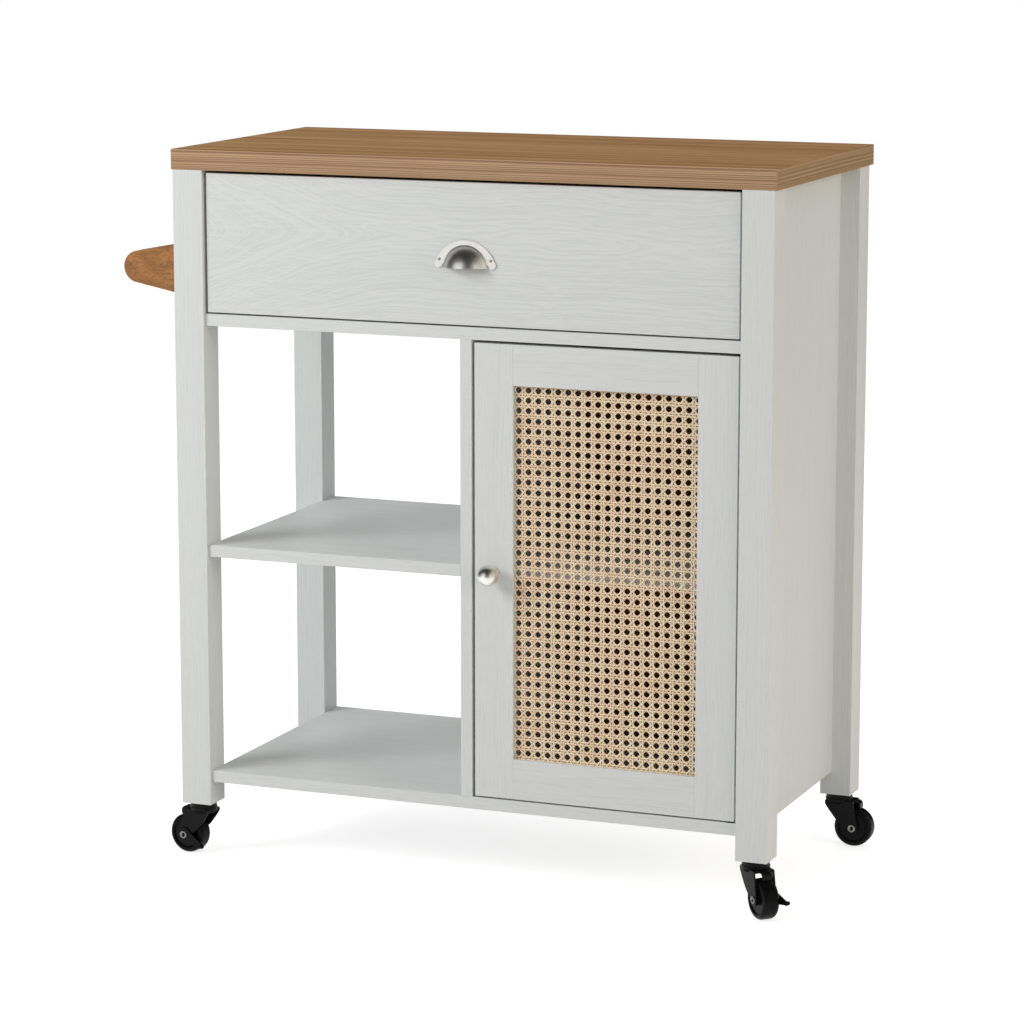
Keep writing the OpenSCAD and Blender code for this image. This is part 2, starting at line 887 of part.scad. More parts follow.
module door_stile_right() {
    door_frame_piece([open_right, face, door_z], [door_right, face_back, door_top]);
}

module door_rail_top() {
    door_frame_piece([open_left, face, open_top], [open_right, face_back, door_top]);
}

module door_rail_bottom() {
    door_frame_piece([open_left, face, door_z], [open_right, face_back, open_z]);
}

module door_dowels() { color(birch) door_dowel_set(0); }

module cane_panel() {
    lap = cane_lap - cane_gap;
    color(tan_cane)
        block([open_left - lap, cane_y, open_z - lap],
            [open_right + lap, cane_y + cane_t, open_top + lap]);
}

// Four strips that hold the cane in its rebate
module cane_beads() {
    lap = cane_lap - cane_gap;
    y = cane_y + cane_t;
    color(white_foil) {
        for (x = [open_left - lap, open_right])
            block([x, y, open_z - lap], [x + lap, face_back, open_top + lap]);
        for (z = [open_z - lap, open_top])
            block([open_left, y, z], [open_right, face_back, z + lap]);
    }
}

module knob() {
    color(nickel)
        difference() {
            translate([knob_x, face, door_mid])
                rotate([90, 0, 0]) {
                    cylinder(r = knob_foot_r, h = knob_foot_t);
                    cylinder(r = knob_neck_r, h = knob_reach);
                    translate([0, 0, knob_reach]) sphere(r = knob_r, $fn = 64);
                }
            knob_screw_shape(slip);
        }
}

module knob_screw() { color(steel) knob_screw_shape(0); }
module door_pins() { color(steel) hinge_pin_set(0); }
module catch_plate() { color(steel) catch_plate_shape(0); }

// Puts a caster's piece under its leg and turns it to its trailing direction
module caster(i) {
    translate([caster_places[i][0], caster_places[i][1], 0])
        rotate([0, 0, caster_places[i][2]])
            children();
}

// Outline of a fork side: X trails, Y is the height
module fork_outline() {
    lead = [
        for (share = [0, 0.2, 0.5, 0.8, 1])
            [between(fork_lead_x, trail - fork_end_r, share),
                between(crown_z - 2, wheel_r, share) - 4 * sin(180 * share)]
    ];
    polygon(concat(
        [[fork_lead_x, crown_top]],
        lead,
        [[trail + fork_end_r, wheel_r], [fork_tail_x, crown_top]]));
    translate([trail, wheel_r]) circle(r = fork_end_r);
}

// Outline of the tab over the wheel, from the crown's trailing edge
module tab_outline() {
    tab_x = fork_tail_x - 2;
    polygon([
        [tab_x, crown_top], [tab_x + 7, crown_top], [tab_x + 10, crown_top - 3],
        [tab_x + 10.5, tab_low], [tab_x + 8.5, tab_low], [tab_x + 8, crown_z - 1.5],
        [tab_x + 6, crown_z], [tab_x, crown_z]
    ]);
}

module fork() {
    color(black)
        difference() {
            union() {
                for (y = [-fork_in, fork_out])
                    translate([0, y, 0])
                        rotate([90, 0, 0])
                            linear_extrude(fork_t) fork_outline();
                block([fork_lead_x, -fork_out, crown_z], [fork_tail_x, fork_out, crown_top]);
                rotate_extrude()
                    polygon([
                        [0, crown_z], [cup_r - 2, crown_z], [cup_r, crown_z + 2],
                        [cup_r, swivel_cup_top - 1.2], [cup_r - 1.2, swivel_cup_top],
                        [0, swivel_cup_top]
                    ]);
                translate([0, tab_w / 2, 0])
                    rotate([90, 0, 0])
                        linear_extrude(tab_w) tab_outline();
            }
            translate([0, 0, crown_z - cut])
                cylinder(r = stem_r + run_gap, h = swivel_cup_h + 2 * cut);
            translate([0, 0, ball_z])
                rotate_extrude()
                    translate([ball_ring_r, 0]) circle(r = ball_r + rest_gap);
            translate([trail, fork_out + cut, wheel_r])
                rotate([90, 0, 0])
                    cylinder(r = axle_r + slip, h = 2 * (fork_out + cut));
        }
}

module fork_front_left() { caster(0) fork(); }
module fork_front_right() { caster(1) fork(); }
module fork_rear_left() { caster(2) fork(); }
module fork_rear_right() { caster(3) fork(); }

// The wheel: a tyre with round shoulders, dished sides and a hub that runs on the axle
module wheel() {
    half = wheel_w / 2;
    hub_half = fork_in - rest_gap;
    hub_r = axle_r + 4;
    dish_r = wheel_r - 6;
    color(black)
        translate([trail, 0, wheel_r])
            rotate([90, 0, 0])
                rotate_extrude($fn = 96)
                    difference() {
                        union() {
                            translate([0, -half]) square([wheel_r - shoulder_r, wheel_w]);
                            translate([0, -half + shoulder_r])
                                square([wheel_r, wheel_w - 2 * shoulder_r]);
                            for (y = [-half + shoulder_r, half - shoulder_r])
                                translate([wheel_r - shoulder_r, y]) circle(r = shoulder_r);
                            translate([0, -hub_half]) square([hub_r, 2 * hub_half]);
                        }
                        for (y = [-half - cut, half - 1.5])
                            translate([hub_r, y]) square([dish_r - hub_r, 1.5 + cut]);
                        translate([0, -hub_half - cut])
                            square([axle_r + run_gap, 2 * (hub_half + cut)]);
                        translate([-wheel_r, -wheel_r]) square([wheel_r, 2 * wheel_r]);
                    }
}

module wheel_front_left() { caster(0) wheel(); }
module wheel_front_right() { caster(1) wheel(); }
module wheel_rear_left() { caster(2) wheel(); }
module wheel_rear_right() { caster(3) wheel(); }

// A tubular rivet through fork and wheel, with room for a brake lever on the +Y side
module axle(lever_room) {
    near = fork_out + lever_room;
    color(steel)
        translate([trail, 0, wheel_r])
            rotate([-90, 0, 0])
                difference() {
                    union() {
                        translate([0, 0, -fork_out - axle_head_t])
                            cylinder(r = axle_r, h = fork_out + near + 2 * axle_head_t);
                        translate([0, 0, -fork_out - axle_head_t])
                            cylinder(r = axle_head_r, h = axle_head_t);
                        translate([0, 0, near])
                            cylinder(r = axle_head_r, h = axle_head_t);
                    }
                    translate([0, 0, -fork_out - axle_head_t - cut])
                        cylinder(r = axle_hole_r, h = 2 * (near + axle_head_t + cut));
                }
}

module axle_front_left() { caster(0) axle(lever_t + 2 * rest_gap); }
module axle_front_right() { caster(1) axle(lever_t + 2 * rest_gap); }
module axle_rear_left() { caster(2) axle(0); }
module axle_rear_right() { caster(3) axle(0); }

// Outline of the brake lever's plate: a hub that narrows to a small round tip
module lever_outline() {
    tip_x = lever_len - lever_tip_r;
    hub = lever_hub_r - lever_step;
    tip = lever_tip_r - lever_step;
    circle(r = lever_hub_r);
    polygon([[0, -hub], [tip_x, -tip], [tip_x, tip], [0, hub]]);
    translate([tip_x, 0]) circle(r = lever_tip_r);
}

// The brake lever: a plate beside the fork, with a short pedal that stands out at its tip
module brake_lever(turn) {
    pedal_end = lever_out + pedal_out - pedal_r;
    color(black)
        translate([trail, 0, wheel_r])
            rotate([0, -turn, 0])
                difference() {
                    union() {
                        translate([0, lever_out, 0])
                            rotate([90, 0, 0])
                                linear_extrude(lever_t) lever_outline();
                        translate([lever_len - lever_tip_r - lever_t / 2, 0, 0])
                            rotate([90, 0, 90])
                                linear_extrude(lever_t) {
                                    translate([lever_in, lever_step - pedal_r])
                                        square([pedal_end - lever_in, 2 * (pedal_r - lever_step)]);
                                    translate([pedal_end, 0]) circle(r = pedal_r);
                                }
                    }
                    translate([0, lever_out + cut, 0])
                        rotate([90, 0, 0])
                            cylinder(r = axle_r + run_gap, h = lever_t + 2 * cut);
                }
}

module brake_lever_left() { caster(0) brake_lever(lever_turn_left); }
module brake_lever_right() { caster(1) brake_lever(0); }

worktop();
leg_front_left();
leg_front_right();
leg_rear_left();
leg_rear_right();
side_panel_right();
apron_left();
rear_rail();
drawer_deck();
divider_panel();
left_shelf();
cabinet_shelf();
bottom_shelf();
cabinet_back();
towel_bracket_front();
towel_bracket_rear();
towel_rod();
carcass_dowels();
shelf_pins();
worktop_brackets();
wood_screws();
drawer_runners();
door_bushes();
catch_housing();
caster_stems();
stem_sockets();
swivel_balls();
drawer_front();
drawer_side_left();
drawer_side_right();
drawer_back();
drawer_bottom();
cup_pull();
pull_screws();
door_stile_left();
door_stile_right();
door_rail_top();
door_rail_bottom();
door_dowels();
cane_panel();
cane_beads();
knob();
knob_screw();
door_pins();
catch_plate();
fork_front_left();
fork_front_right();
fork_rear_left();
fork_rear_right();
wheel_front_left();
wheel_front_right();
wheel_rear_left();
wheel_rear_right();
axle_front_left();
axle_front_right();
axle_rear_left();
axle_rear_right();
brake_lever_left();
brake_lever_right();
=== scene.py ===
"""Kitchen island cart: finished boards, a woven cane door, metal fittings, casters and a stage."""

import json
import math

import bmesh
import bpy
from bpy.props import FloatProperty, FloatVectorProperty, IntProperty, PointerProperty
from mathutils import Matrix, Vector

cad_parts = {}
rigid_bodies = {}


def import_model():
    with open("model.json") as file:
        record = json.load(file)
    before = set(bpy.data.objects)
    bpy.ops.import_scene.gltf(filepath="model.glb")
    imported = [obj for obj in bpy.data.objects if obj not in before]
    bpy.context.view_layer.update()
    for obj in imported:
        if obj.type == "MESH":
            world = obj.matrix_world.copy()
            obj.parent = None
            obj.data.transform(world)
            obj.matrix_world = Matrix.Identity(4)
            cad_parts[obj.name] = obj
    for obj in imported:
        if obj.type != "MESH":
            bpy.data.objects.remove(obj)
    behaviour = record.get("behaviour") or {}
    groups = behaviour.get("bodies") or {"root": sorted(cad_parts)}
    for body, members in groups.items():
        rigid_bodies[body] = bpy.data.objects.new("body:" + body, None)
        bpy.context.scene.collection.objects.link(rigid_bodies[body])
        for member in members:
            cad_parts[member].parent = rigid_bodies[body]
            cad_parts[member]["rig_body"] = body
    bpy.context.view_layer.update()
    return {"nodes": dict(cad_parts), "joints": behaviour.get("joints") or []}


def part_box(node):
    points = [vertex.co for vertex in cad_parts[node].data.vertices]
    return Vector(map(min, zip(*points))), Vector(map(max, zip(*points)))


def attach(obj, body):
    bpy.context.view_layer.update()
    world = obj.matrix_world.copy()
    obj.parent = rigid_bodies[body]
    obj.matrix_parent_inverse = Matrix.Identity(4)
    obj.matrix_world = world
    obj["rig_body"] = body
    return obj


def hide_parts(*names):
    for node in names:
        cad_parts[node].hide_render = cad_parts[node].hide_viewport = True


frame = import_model()

bl_info = {
    "name": "Kitchen island cart",
    "version": (1, 0, 0),
    "blender": (4, 5, 0),
    "location": "3D View > Sidebar > Island cart",
    "description": "Builds the visible pieces of a kitchen island cart round its frame",
    "category": "Object",
}

MM = 0.001

# Boards by the way their grain runs
GRAIN_UP = [
    "leg_front_left", "leg_front_right", "leg_rear_left", "leg_rear_right", "divider_panel",
    "side_panel_right", "door_stile_left", "door_stile_right", "cabinet_back",
]
GRAIN_ACROSS = [
    "drawer_front", "door_rail_top", "door_rail_bottom", "bottom_shelf", "left_shelf",
    "cabinet_shelf", "drawer_deck", "rear_rail", "drawer_back", "drawer_bottom", "cane_beads",
]
GRAIN_BACKWARD = ["apron_left", "drawer_side_left", "drawer_side_right"]
CORNERS = ["front_left", "front_right", "rear_left", "rear_right"]


# ---- settings

def length_setting(name, description, default, low, high):
    """A length that a user may change, given in millimetres"""
    return FloatProperty(
        name=name, description=description, default=default * MM, min=low * MM, max=high * MM,
        subtype="DISTANCE", unit="LENGTH")


def colour_setting(name, description, default):
    return FloatVectorProperty(
        name=name, description=description, default=default, min=0, max=1, size=3,
        subtype="COLOR")


class CartSizes(bpy.types.PropertyGroup):
    """Sizes of the finish that a user may change"""

    edge_round: length_setting(
        "Board edge rounding", "Radius along the edges of the white boards", 0.4, 0.1, 3)
    worktop_round: length_setting(
        "Worktop edge rounding", "Radius along the top edges of the worktop", 1.6, 0.1, 5)
    cane_pitch: length_setting(
        "Cane pitch", "Distance between the cane's columns of holes", 12.78, 8, 20)
    cane_rise: length_setting(
        "Cane rise", "Distance between the cane's rows of holes", 12.48, 8, 20)
    cane_pair: length_setting(
        "Cane pair spacing", "Distance between the two strands of a pair", 3.1, 2.5, 6)
    strand_width: length_setting("Strand width", "Width of one cane strand", 2.4, 1, 4)
    strand_depth: length_setting("Strand thickness", "Thickness of one cane strand", 0.5, 0.2, 1)
    strand_seed: IntProperty(
        name="Strand seed", description="Picks the tones of the cane's strands",
        default=3, min=0, max=999)


class CartColours(bpy.types.PropertyGroup):
    """Colours that a user may change"""

    white: colour_setting("White foil", "Colour of the white boards", (0.715, 0.730, 0.722))
    oak: colour_setting("Oak", "Middle colour of the worktop's top", (0.475, 0.268, 0.108))
    oak_edge: colour_setting(
        "Oak front edge", "Middle colour of the worktop's front and rear edges",
        (0.42, 0.268, 0.158))
    oak_rail: colour_setting("Oak rail", "Colour of the towel rail", (0.365, 0.170, 0.062))
    cane: colour_setting("Cane", "Colour of the cane strands", (0.985, 0.815, 0.60))
    nickel: colour_setting("Nickel", "Colour of the pull and the knob", (0.83, 0.825, 0.80))
    black: colour_setting("Black", "Colour of the casters' metal", (0.005, 0.005, 0.0055))


def sizes():
    return bpy.context.scene.cart_sizes


def colours():
    return bpy.context.scene.cart_colours


# ---- materials

class Nodes:
    """Adds nodes to a tree and links them"""

    tree = None

    def empty(self, owner):
        """Starts on the emptied tree of a material or a world"""
        owner.use_nodes = True
        self.tree = owner.node_tree
        self.tree.nodes.clear()
        return self

    def feed(self, socket, value):
        """Links the socket where the value is one too, or sets it"""
        if isinstance(value, bpy.types.NodeSocket):
            self.tree.links.new(value, socket)
        else:
            socket.default_value = value

    def add(self, kind, inputs=None, **settings):
        node = self.tree.nodes.new(kind)
        for name, value in settings.items():
            setattr(node, name, value)
        for key, value in (inputs or {}).items():
            self.feed(node.inputs[key], value)
        return node

    def maths(self, operation, *values):
        return self.made("ShaderNodeMath", dict(enumerate(values)), operation=operation)

    def made(self, kind, inputs=None, **settings):
        """The first output of a new node"""
        return self.add(kind, inputs, **settings).outputs[0]

    def plus(self, first, second):
        return self.maths("ADD", first, second)

    def minus(self, first, second):
        return self.maths("SUBTRACT", first, second)

    def times(self, first, second):
        return self.maths("MULTIPLY", first, second)

    def times_plus(self, first, second, third):
        return self.maths("MULTIPLY_ADD", first, second, third)

    def seen_directly(self):
        """1 for rays that show a surface as it is: from the camera, in metal or through glass"""
        rays = self.add("ShaderNodeLightPath").outputs
        shown = self.maths("MAXIMUM", rays["Is Camera Ray"], rays["Is Glossy Ray"])
        return self.maths("MAXIMUM", shown, rays["Is Transmission Ray"])


class Recipe(Nodes):
    """One material under construction: a Principled shader and the nodes that feed it"""

    def __init__(self, name):
        self.material = bpy.data.materials.new(name)
        self.empty(self.material)
        out = self.add("ShaderNodeOutputMaterial")
        self.shader = self.add("ShaderNodeBsdfPrincipled")
        self.feed(out.inputs["Surface"], self.shader.outputs[0])

    def place(self):
        return self.add("ShaderNodeTexCoord").outputs["Object"]

    def scaled(self, vector, scale):
        return self.made("ShaderNodeVectorMath", {0: vector, 1: scale}, operation="MULTIPLY")

    def noise(self, scale=1.0, detail=2.0, roughness=0.5, vector=None):
        node = self.add("ShaderNodeTexNoise", {
            "Vector": vector or self.place(), "Scale": scale, "Detail": detail,
            "Roughness": roughness})
        return node.outputs["Fac"]

    def grain(self, axis, along, across, detail=2.0, roughness=0.5):
        """Noise drawn out along the axis: its scales along and across it, per metre"""
        scales = tuple(along if letter == axis else across for letter in "XYZ")
        return self.noise(
            detail=detail, roughness=roughness, vector=self.scaled(self.place(), scales))

    def ramp(self, value, low, high, to_low=0.0, to_high=1.0):
        return self.made("ShaderNodeMapRange", {
            "Value": value, "From Min": low, "From Max": high, "To Min": to_low,
            "To Max": to_high}, interpolation_type="SMOOTHSTEP")

    def across(self, vector, axis):
        """How far a place lies across the axis, the same all round a board's faces"""
        mask = tuple(0.0 if letter == axis else 1.0 for letter in "XYZ")
        node = self.add("ShaderNodeVectorMath", {0: vector, 1: mask}, operation="DOT_PRODUCT")
        return node.outputs["Value"]

    def lines(self, place, scale, detail=2.0, roughness=0.5):
        """Uneven stripes along one number"""
        node = self.add("ShaderNodeTexNoise", {
            "W": place, "Scale": scale, "Detail": detail, "Roughness": roughness},
            noise_dimensions="1D")
        return node.outputs["Fac"]

    def blend(self, share, first, second, mode="MIX"):
        node = self.add(
            "ShaderNodeMix", {0: share, 6: opaque(first), 7: opaque(second)},
            data_type="RGBA", blend_type=mode)
        return node.outputs[2]

    def bump(self, height, depth, strength):
        self.feed(self.shader.inputs["Normal"], self.made("ShaderNodeBump", {
            "Height": height, "Distance": depth, "Strength": strength}))

    def finish(self, **inputs):
        for name, value in inputs.items():
            self.feed(self.shader.inputs[name.replace("_", " ")], value)
        return self.material


def opaque(colour):
    """A colour with its fourth number, or the socket it comes from"""
    if isinstance(colour, bpy.types.NodeSocket):
        return colour
    return (*tuple(colour)[:3], 1.0)


def toned(colour, factor):
    return tuple(min(1.0, c * factor) for c in tuple(colour)[:3])


def bent_across(recipe, axis, reach, along, across):
    """The place across the grain, shifted by a slow drift so that stripes along it wander"""
    drift = recipe.grain(axis, along, across, detail=1.0)
    return recipe.times_plus(drift, reach, recipe.across(recipe.place(), axis))


def darker(recipe, colour, share, factor):
    """The colour, multiplied by the factor where the share is 1"""
    return recipe.blend(share, colour, recipe.blend(1.0, colour, factor, "MULTIPLY"))


def arches(recipe, centre, end, bend):
    """Height across a grain along X whose lines close to nested arches before X reaches the end"""
    tip = 12 * MM  # over this half height each arch is round
    x, _, z = recipe.add("ShaderNodeSeparateXYZ", {0: recipe.place()}).outputs
    side = recipe.minus(z, centre)
    round_side = recipe.maths("SQRT", recipe.times_plus(side, side, tip * tip))
    short = recipe.maths("MAXIMUM", recipe.minus(end, x), 0.0)
    lean = recipe.times(recipe.maths("POWER", short, 1.4), -bend)
    return recipe.plus(round_side, lean)


def white_foil(name, axis, reach=0.05, pitch=420.0, depth=1.0, arch=None):
    """White foil with an embossed wood grain along the axis and a painted sheen on the grain's ridges.
    arch: centre, end and bend of arches
    """
    recipe = Recipe(name)
    base = colours().white
    bent = bent_across(recipe, axis, reach, 2.6, 9.0)
    if arch:
        drift = recipe.noise(vector=recipe.scaled(recipe.place(), (5.0, 5.0, 12.0)))
        bent = recipe.times_plus(drift, reach, arches(recipe, *arch))
    streak = recipe.grain(axis, 32, 520)
    line = recipe.ramp(recipe.lines(bent, pitch, detail=1.0), 0.46, 0.60)
    broken = recipe.times(line, recipe.ramp(streak, 0.40, 0.54))
    # Painted sheen: the colour is made a little lighter along the grain's ridges
    ridge = recipe.ramp(recipe.lines(bent, pitch * 1.3, detail=1.0), 0.54, 0.40)
    painted_sheen = recipe.times(ridge, recipe.ramp(streak, 0.56, 0.46))
    broad = recipe.lines(bent, 45.0)
    shade = recipe.blend(recipe.ramp(broad, 0.3, 0.7), toned(base, 0.99), toned(base, 1.01))
    colour = darker(recipe, shade, recipe.times(broken, depth), (0.952, 0.955, 0.96))
    colour = darker(recipe, colour, recipe.times(painted_sheen, depth), (1.014, 1.014, 1.014))
    recipe.bump(recipe.times(broken, -1.0), 0.08 * MM * depth, 0.6)
    return recipe.finish(
        Base_Color=colour, Roughness=recipe.ramp(streak, 0.3, 0.7, 0.44, 0.52),
        Specular_IOR_Level=0.4)


def oak_top(axis, base):
    """Flat-sawn oak foil: long broad bands of two browns, fine fibres and short pores"""
    recipe = Recipe("Oak top")
    bent = bent_across(recipe, axis, 0.07, 1.2, 5.0)
    broad = recipe.lines(bent, 22.0, detail=3.0, roughness=0.6)
    slow = recipe.grain(axis, 2.2, 16.0)
    band = recipe.grain(axis, 4.0, 95.0)
    fine = recipe.grain(axis, 9, 620, roughness=0.6)
    pores = recipe.grain(axis, 60, 1300, detail=1.0)
    pale = recipe.blend(1.0, base, (1.12, 1.16, 1.15), "MULTIPLY")
    brown = recipe.blend(1.0, base, (0.88, 0.82, 0.74), "MULTIPLY")
    colour = recipe.blend(recipe.ramp(broad, 0.36, 0.64), brown, pale)
    colour = darker(recipe, colour, recipe.ramp(slow, 0.48, 0.66), (0.93, 0.85, 0.77))
    colour = darker(recipe, colour, recipe.ramp(band, 0.50, 0.62), (0.84, 0.79, 0.72))
    colour = darker(recipe, colour, recipe.ramp(fine, 0.45, 0.70), (0.90, 0.87, 0.85))
    hole = recipe.ramp(pores, 0.60, 0.70)
    colour = darker(recipe, colour, hole, (0.78, 0.72, 0.66))
    recipe.bump(recipe.times(hole, -1.0), 0.10 * MM, 0.5)
    return recipe.finish(
        Base_Color=colour, Roughness=recipe.ramp(fine, 0.3, 0.7, 0.52, 0.62),
        Specular_IOR_Level=0.2)


def oak_edge(name, axis, base, contrast):
    """Edge foil: straight fine stripes, some dark and some pale, along the axis"""
    recipe = Recipe(name)
    bent = bent_across(recipe, axis, 0.004, 2.0, 12.0)
    stripe = recipe.lines(bent, 430.0, detail=0.0)
    thread = recipe.lines(bent, 1150.0, detail=0.0)
    broad = recipe.lines(bent, 120.0, detail=1.0)
    fade = recipe.grain(axis, 8, 300, detail=1.0)
    low, high = toned(base, 1 - contrast), toned(base, 1 + contrast)
    colour = recipe.blend(recipe.ramp(stripe, 0.36, 0.62), low, high)
    colour = darker(recipe, colour, recipe.ramp(broad, 0.42, 0.68), (0.93, 0.90, 0.87))
    dark = recipe.times(recipe.ramp(thread, 0.54, 0.66), recipe.ramp(fade, 0.38, 0.55))
    colour = darker(recipe, colour, dark, (0.76, 0.71, 0.66))
    recipe.bump(stripe, 0.06 * MM, 0.5)
    return recipe.finish(Base_Color=colour, Roughness=0.52, Specular_IOR_Level=0.25)


def oak_rail(name, axis, base):
    """Solid oak of the towel rail: short brown flecks on a warm ground"""
    recipe = Recipe(name)
    slow = recipe.grain(axis, 34, 90, detail=3.0)
    fleck = recipe.grain(axis, 190, 560)
    colour = recipe.blend(recipe.ramp(slow, 0.35, 0.65), toned(base, 0.84), toned(base, 1.16))
    colour = darker(recipe, colour, recipe.ramp(fleck, 0.48, 0.64), (0.76, 0.70, 0.64))
    recipe.bump(recipe.times(fleck, -1.0), 0.08 * MM, 0.5)
    return recipe.finish(Base_Color=colour, Roughness=0.5, Specular_IOR_Level=0.3)


def drawer_foil():
    """The drawer front's foil: arches in its left third, then broken lines along it"""
    low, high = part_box("drawer_front")
    third = low.x + (high.x - low.x) * 0.36
    centre = low.z + (high.z - low.z) * 0.60
    return white_foil(
        "White foil drawer", "X", reach=0.035, pitch=360.0, depth=3.2, arch=(centre, third, 0.5))


def hardboard_and_painted_shade():
    """Bare brown hardboard with its fine fibres, dark enough that it also stands as painted shade for
    the cabinet's inside seen through the cane
    """
    recipe = Recipe("Brown hardboard")
    fibre = recipe.noise(650.0, detail=3.0)
    cloud = recipe.noise(30.0)
    # Dark browns: the board's own tone, also painted shade for the closed cabinet
    colour = recipe.blend(recipe.ramp(cloud, 0.3, 0.7), (0.28, 0.125, 0.04), (0.36, 0.17, 0.06))
    colour = darker(recipe, colour, recipe.ramp(fibre, 0.5, 0.7), (0.75, 0.72, 0.7))
    recipe.bump(fibre, 0.04 * MM, 0.4)
    return recipe.finish(Base_Color=colour, Roughness=0.7)


def metal(name, base, rough, spread):
    """Bare or plated metal with a fine satin unevenness"""
    recipe = Recipe(name)
    cloud = recipe.noise(900.0)
    slow = recipe.noise(60.0)
    colour = recipe.blend(recipe.ramp(slow, 0.3, 0.7), toned(base, 0.95), toned(base, 1.03))
    recipe.bump(cloud, 0.01 * MM, 0.3)
    return recipe.finish(
        Base_Color=colour, Metallic=1.0, Roughness=recipe.ramp(cloud, 0.3, 0.7, rough, rough + spread))


def paint(name, base, rough, gloss=0.5):
    """Black paint or moulded plastic with a light orange peel"""
    recipe = Recipe(name)
    peel = recipe.noise(700.0)
    slow = recipe.noise(45.0, detail=3.0)
    colour = recipe.blend(recipe.ramp(slow, 0.35, 0.7), toned(base, 0.85), toned(base, 1.25))
    recipe.bump(peel, 0.03 * MM, 0.35)
    return recipe.finish(
        Base_Color=colour, Roughness=recipe.ramp(slow, 0.3, 0.7, rough, rough + 0.1),
        Specular_IOR_Level=gloss)


def birch_wood():
    """Plain birch of the dowels and the runners"""
    recipe = Recipe("Birch")
    lines = recipe.grain("X", 12, 400, detail=3.0)
    colour = recipe.blend(recipe.ramp(lines, 0.3, 0.7), (0.50, 0.36, 0.20), (0.66, 0.51, 0.33))
    recipe.bump(lines, 0.05 * MM, 0.4)
    return recipe.finish(Base_Color=colour, Roughness=0.6)


def cane_strand():
    """Split cane: every strand has its own tone, with fine lines and darker nodes"""
    recipe = Recipe("Cane")
    base = colours().cane
    strand = recipe.add("ShaderNodeAttribute", attribute_name="strand").outputs["Fac"]
    seed = recipe.plus(strand, float(sizes().strand_seed))
    tone = recipe.add("ShaderNodeTexWhiteNoise", {"W": seed}, noise_dimensions="1D").outputs["Value"]
    fibre = recipe.noise(900.0, detail=3.0)
    slow = recipe.noise(35.0)
    pink = (base[0] * 0.98, base[1] * 0.88, base[2] * 0.90)
    straw = (base[0] * 1.02, base[1] * 1.08, base[2] * 1.04)
    colour = recipe.blend(tone, pink, straw)
    colour = darker(recipe, colour, recipe.ramp(slow, 0.40, 0.75), (0.96, 0.92, 0.88))
    colour = darker(recipe, colour, recipe.ramp(fibre, 0.45, 0.66), (0.80, 0.74, 0.66))
    recipe.bump(fibre, 0.05 * MM, 0.4)
    return recipe.finish(Base_Color=colour, Roughness=0.38)


_finishes = {}


def finish_for(name):
    """The material of that name, made once"""
    if name not in _finishes:
        tint, side_edge, matt_black = colours(), (0.37, 0.235, 0.122), (0.02, 0.02, 0.02)
        makers = {
            **{f"white {axis}": lambda axis=axis: white_foil(f"White foil {axis}", axis)
               for axis in "XYZ"},
            "white drawer": drawer_foil,
            "oak top": lambda: oak_top("X", tint.oak),
            "oak edge X": lambda: oak_edge("Oak edge X", "X", tint.oak_edge, 0.26),
            "oak edge Y": lambda: oak_edge("Oak edge Y", "Y", side_edge, 0.24),
            "oak rail": lambda: oak_rail("Oak rail", "X", tint.oak_rail),
            "oak rod": lambda: oak_rail("Oak rod", "Y", tint.oak_rail),
            "hardboard_and_painted_shade": hardboard_and_painted_shade,
            "nickel": lambda: metal("Satin nickel", tint.nickel, 0.33, 0.06),
            "zinc": lambda: metal("Zinc plate", (0.55, 0.56, 0.58), 0.32, 0.12),
            "black metal": lambda: paint("Black paint", tint.black, 0.30, 0.11),
            "black wheel": lambda: paint("Black wheel", toned(tint.black, 0.7), 0.30, 0.10),
            "gunmetal": lambda: metal("Gunmetal", (0.24, 0.24, 0.235), 0.28, 0.10),
            "black plastic": lambda: paint("Black plastic", matt_black, 0.42),
            "birch": birch_wood,
            "cane": cane_strand,
        }
        _finishes[name] = makers[name]()
    return _finishes[name]


# ---- mesh work

def node_slot(node):
    """The record's slot that a frame node was packed with"""
    return frame["nodes"][node]["slot"]


def remember_slots():
    """Keeps each node's slot, which is its material's name before it is dressed"""
    for part in frame["nodes"].values():
        part["slot"] = part.data.materials[0].name


def whole_mesh(node):
    """A node's shape with its loose triangles joined into whole faces"""
    shape = bmesh.new()
    shape.from_mesh(frame["nodes"][node].data)
    bmesh.ops.remove_doubles(shape, verts=shape.verts, dist=MM / 200)
    bmesh.ops.dissolve_limit(
        shape, angle_limit=math.radians(0.4), verts=shape.verts, edges=shape.edges)
    return shape


def outer_edges(shape, shortest=4 * MM):
    """Long convex edges, which leaves out the rims of drilled holes"""
    return [
        e for e in shape.edges
        if len(e.link_faces) == 2 and e.is_convex and e.calc_length() > shortest
        and e.calc_face_angle() > math.radians(35)
    ]


def outline_edges(shape):
    """The outer edges on the outline of a board's box, which leaves out housings cut into it"""
    corners = [v.co for v in shape.verts]
    low, high = (list(map(pick, zip(*corners))) for pick in (min, max))

    def on_edge(vert):
        return sum(min(c - l, h - c) < MM / 50 for c, l, h in zip(vert.co, low, high)) >= 2

    return [e for e in outer_edges(shape) if all(map(on_edge, e.verts))]


def make_object(name, shape, materials, smooth=None):
    """A plain mesh object from a finished shape. smooth is the angle under which faces blend"""
    mesh = bpy.data.meshes.new(name)
    shape.to_mesh(mesh)
    shape.free()
    for material in materials:
        mesh.materials.append(material)
    for face in mesh.polygons:
        face.use_smooth = smooth is not None
    if smooth is not None:
        mesh.set_sharp_from_angle(angle=math.radians(smooth))
    piece = bpy.data.objects.new(name, mesh)
    bpy.context.scene.collection.objects.link(piece)
    return piece


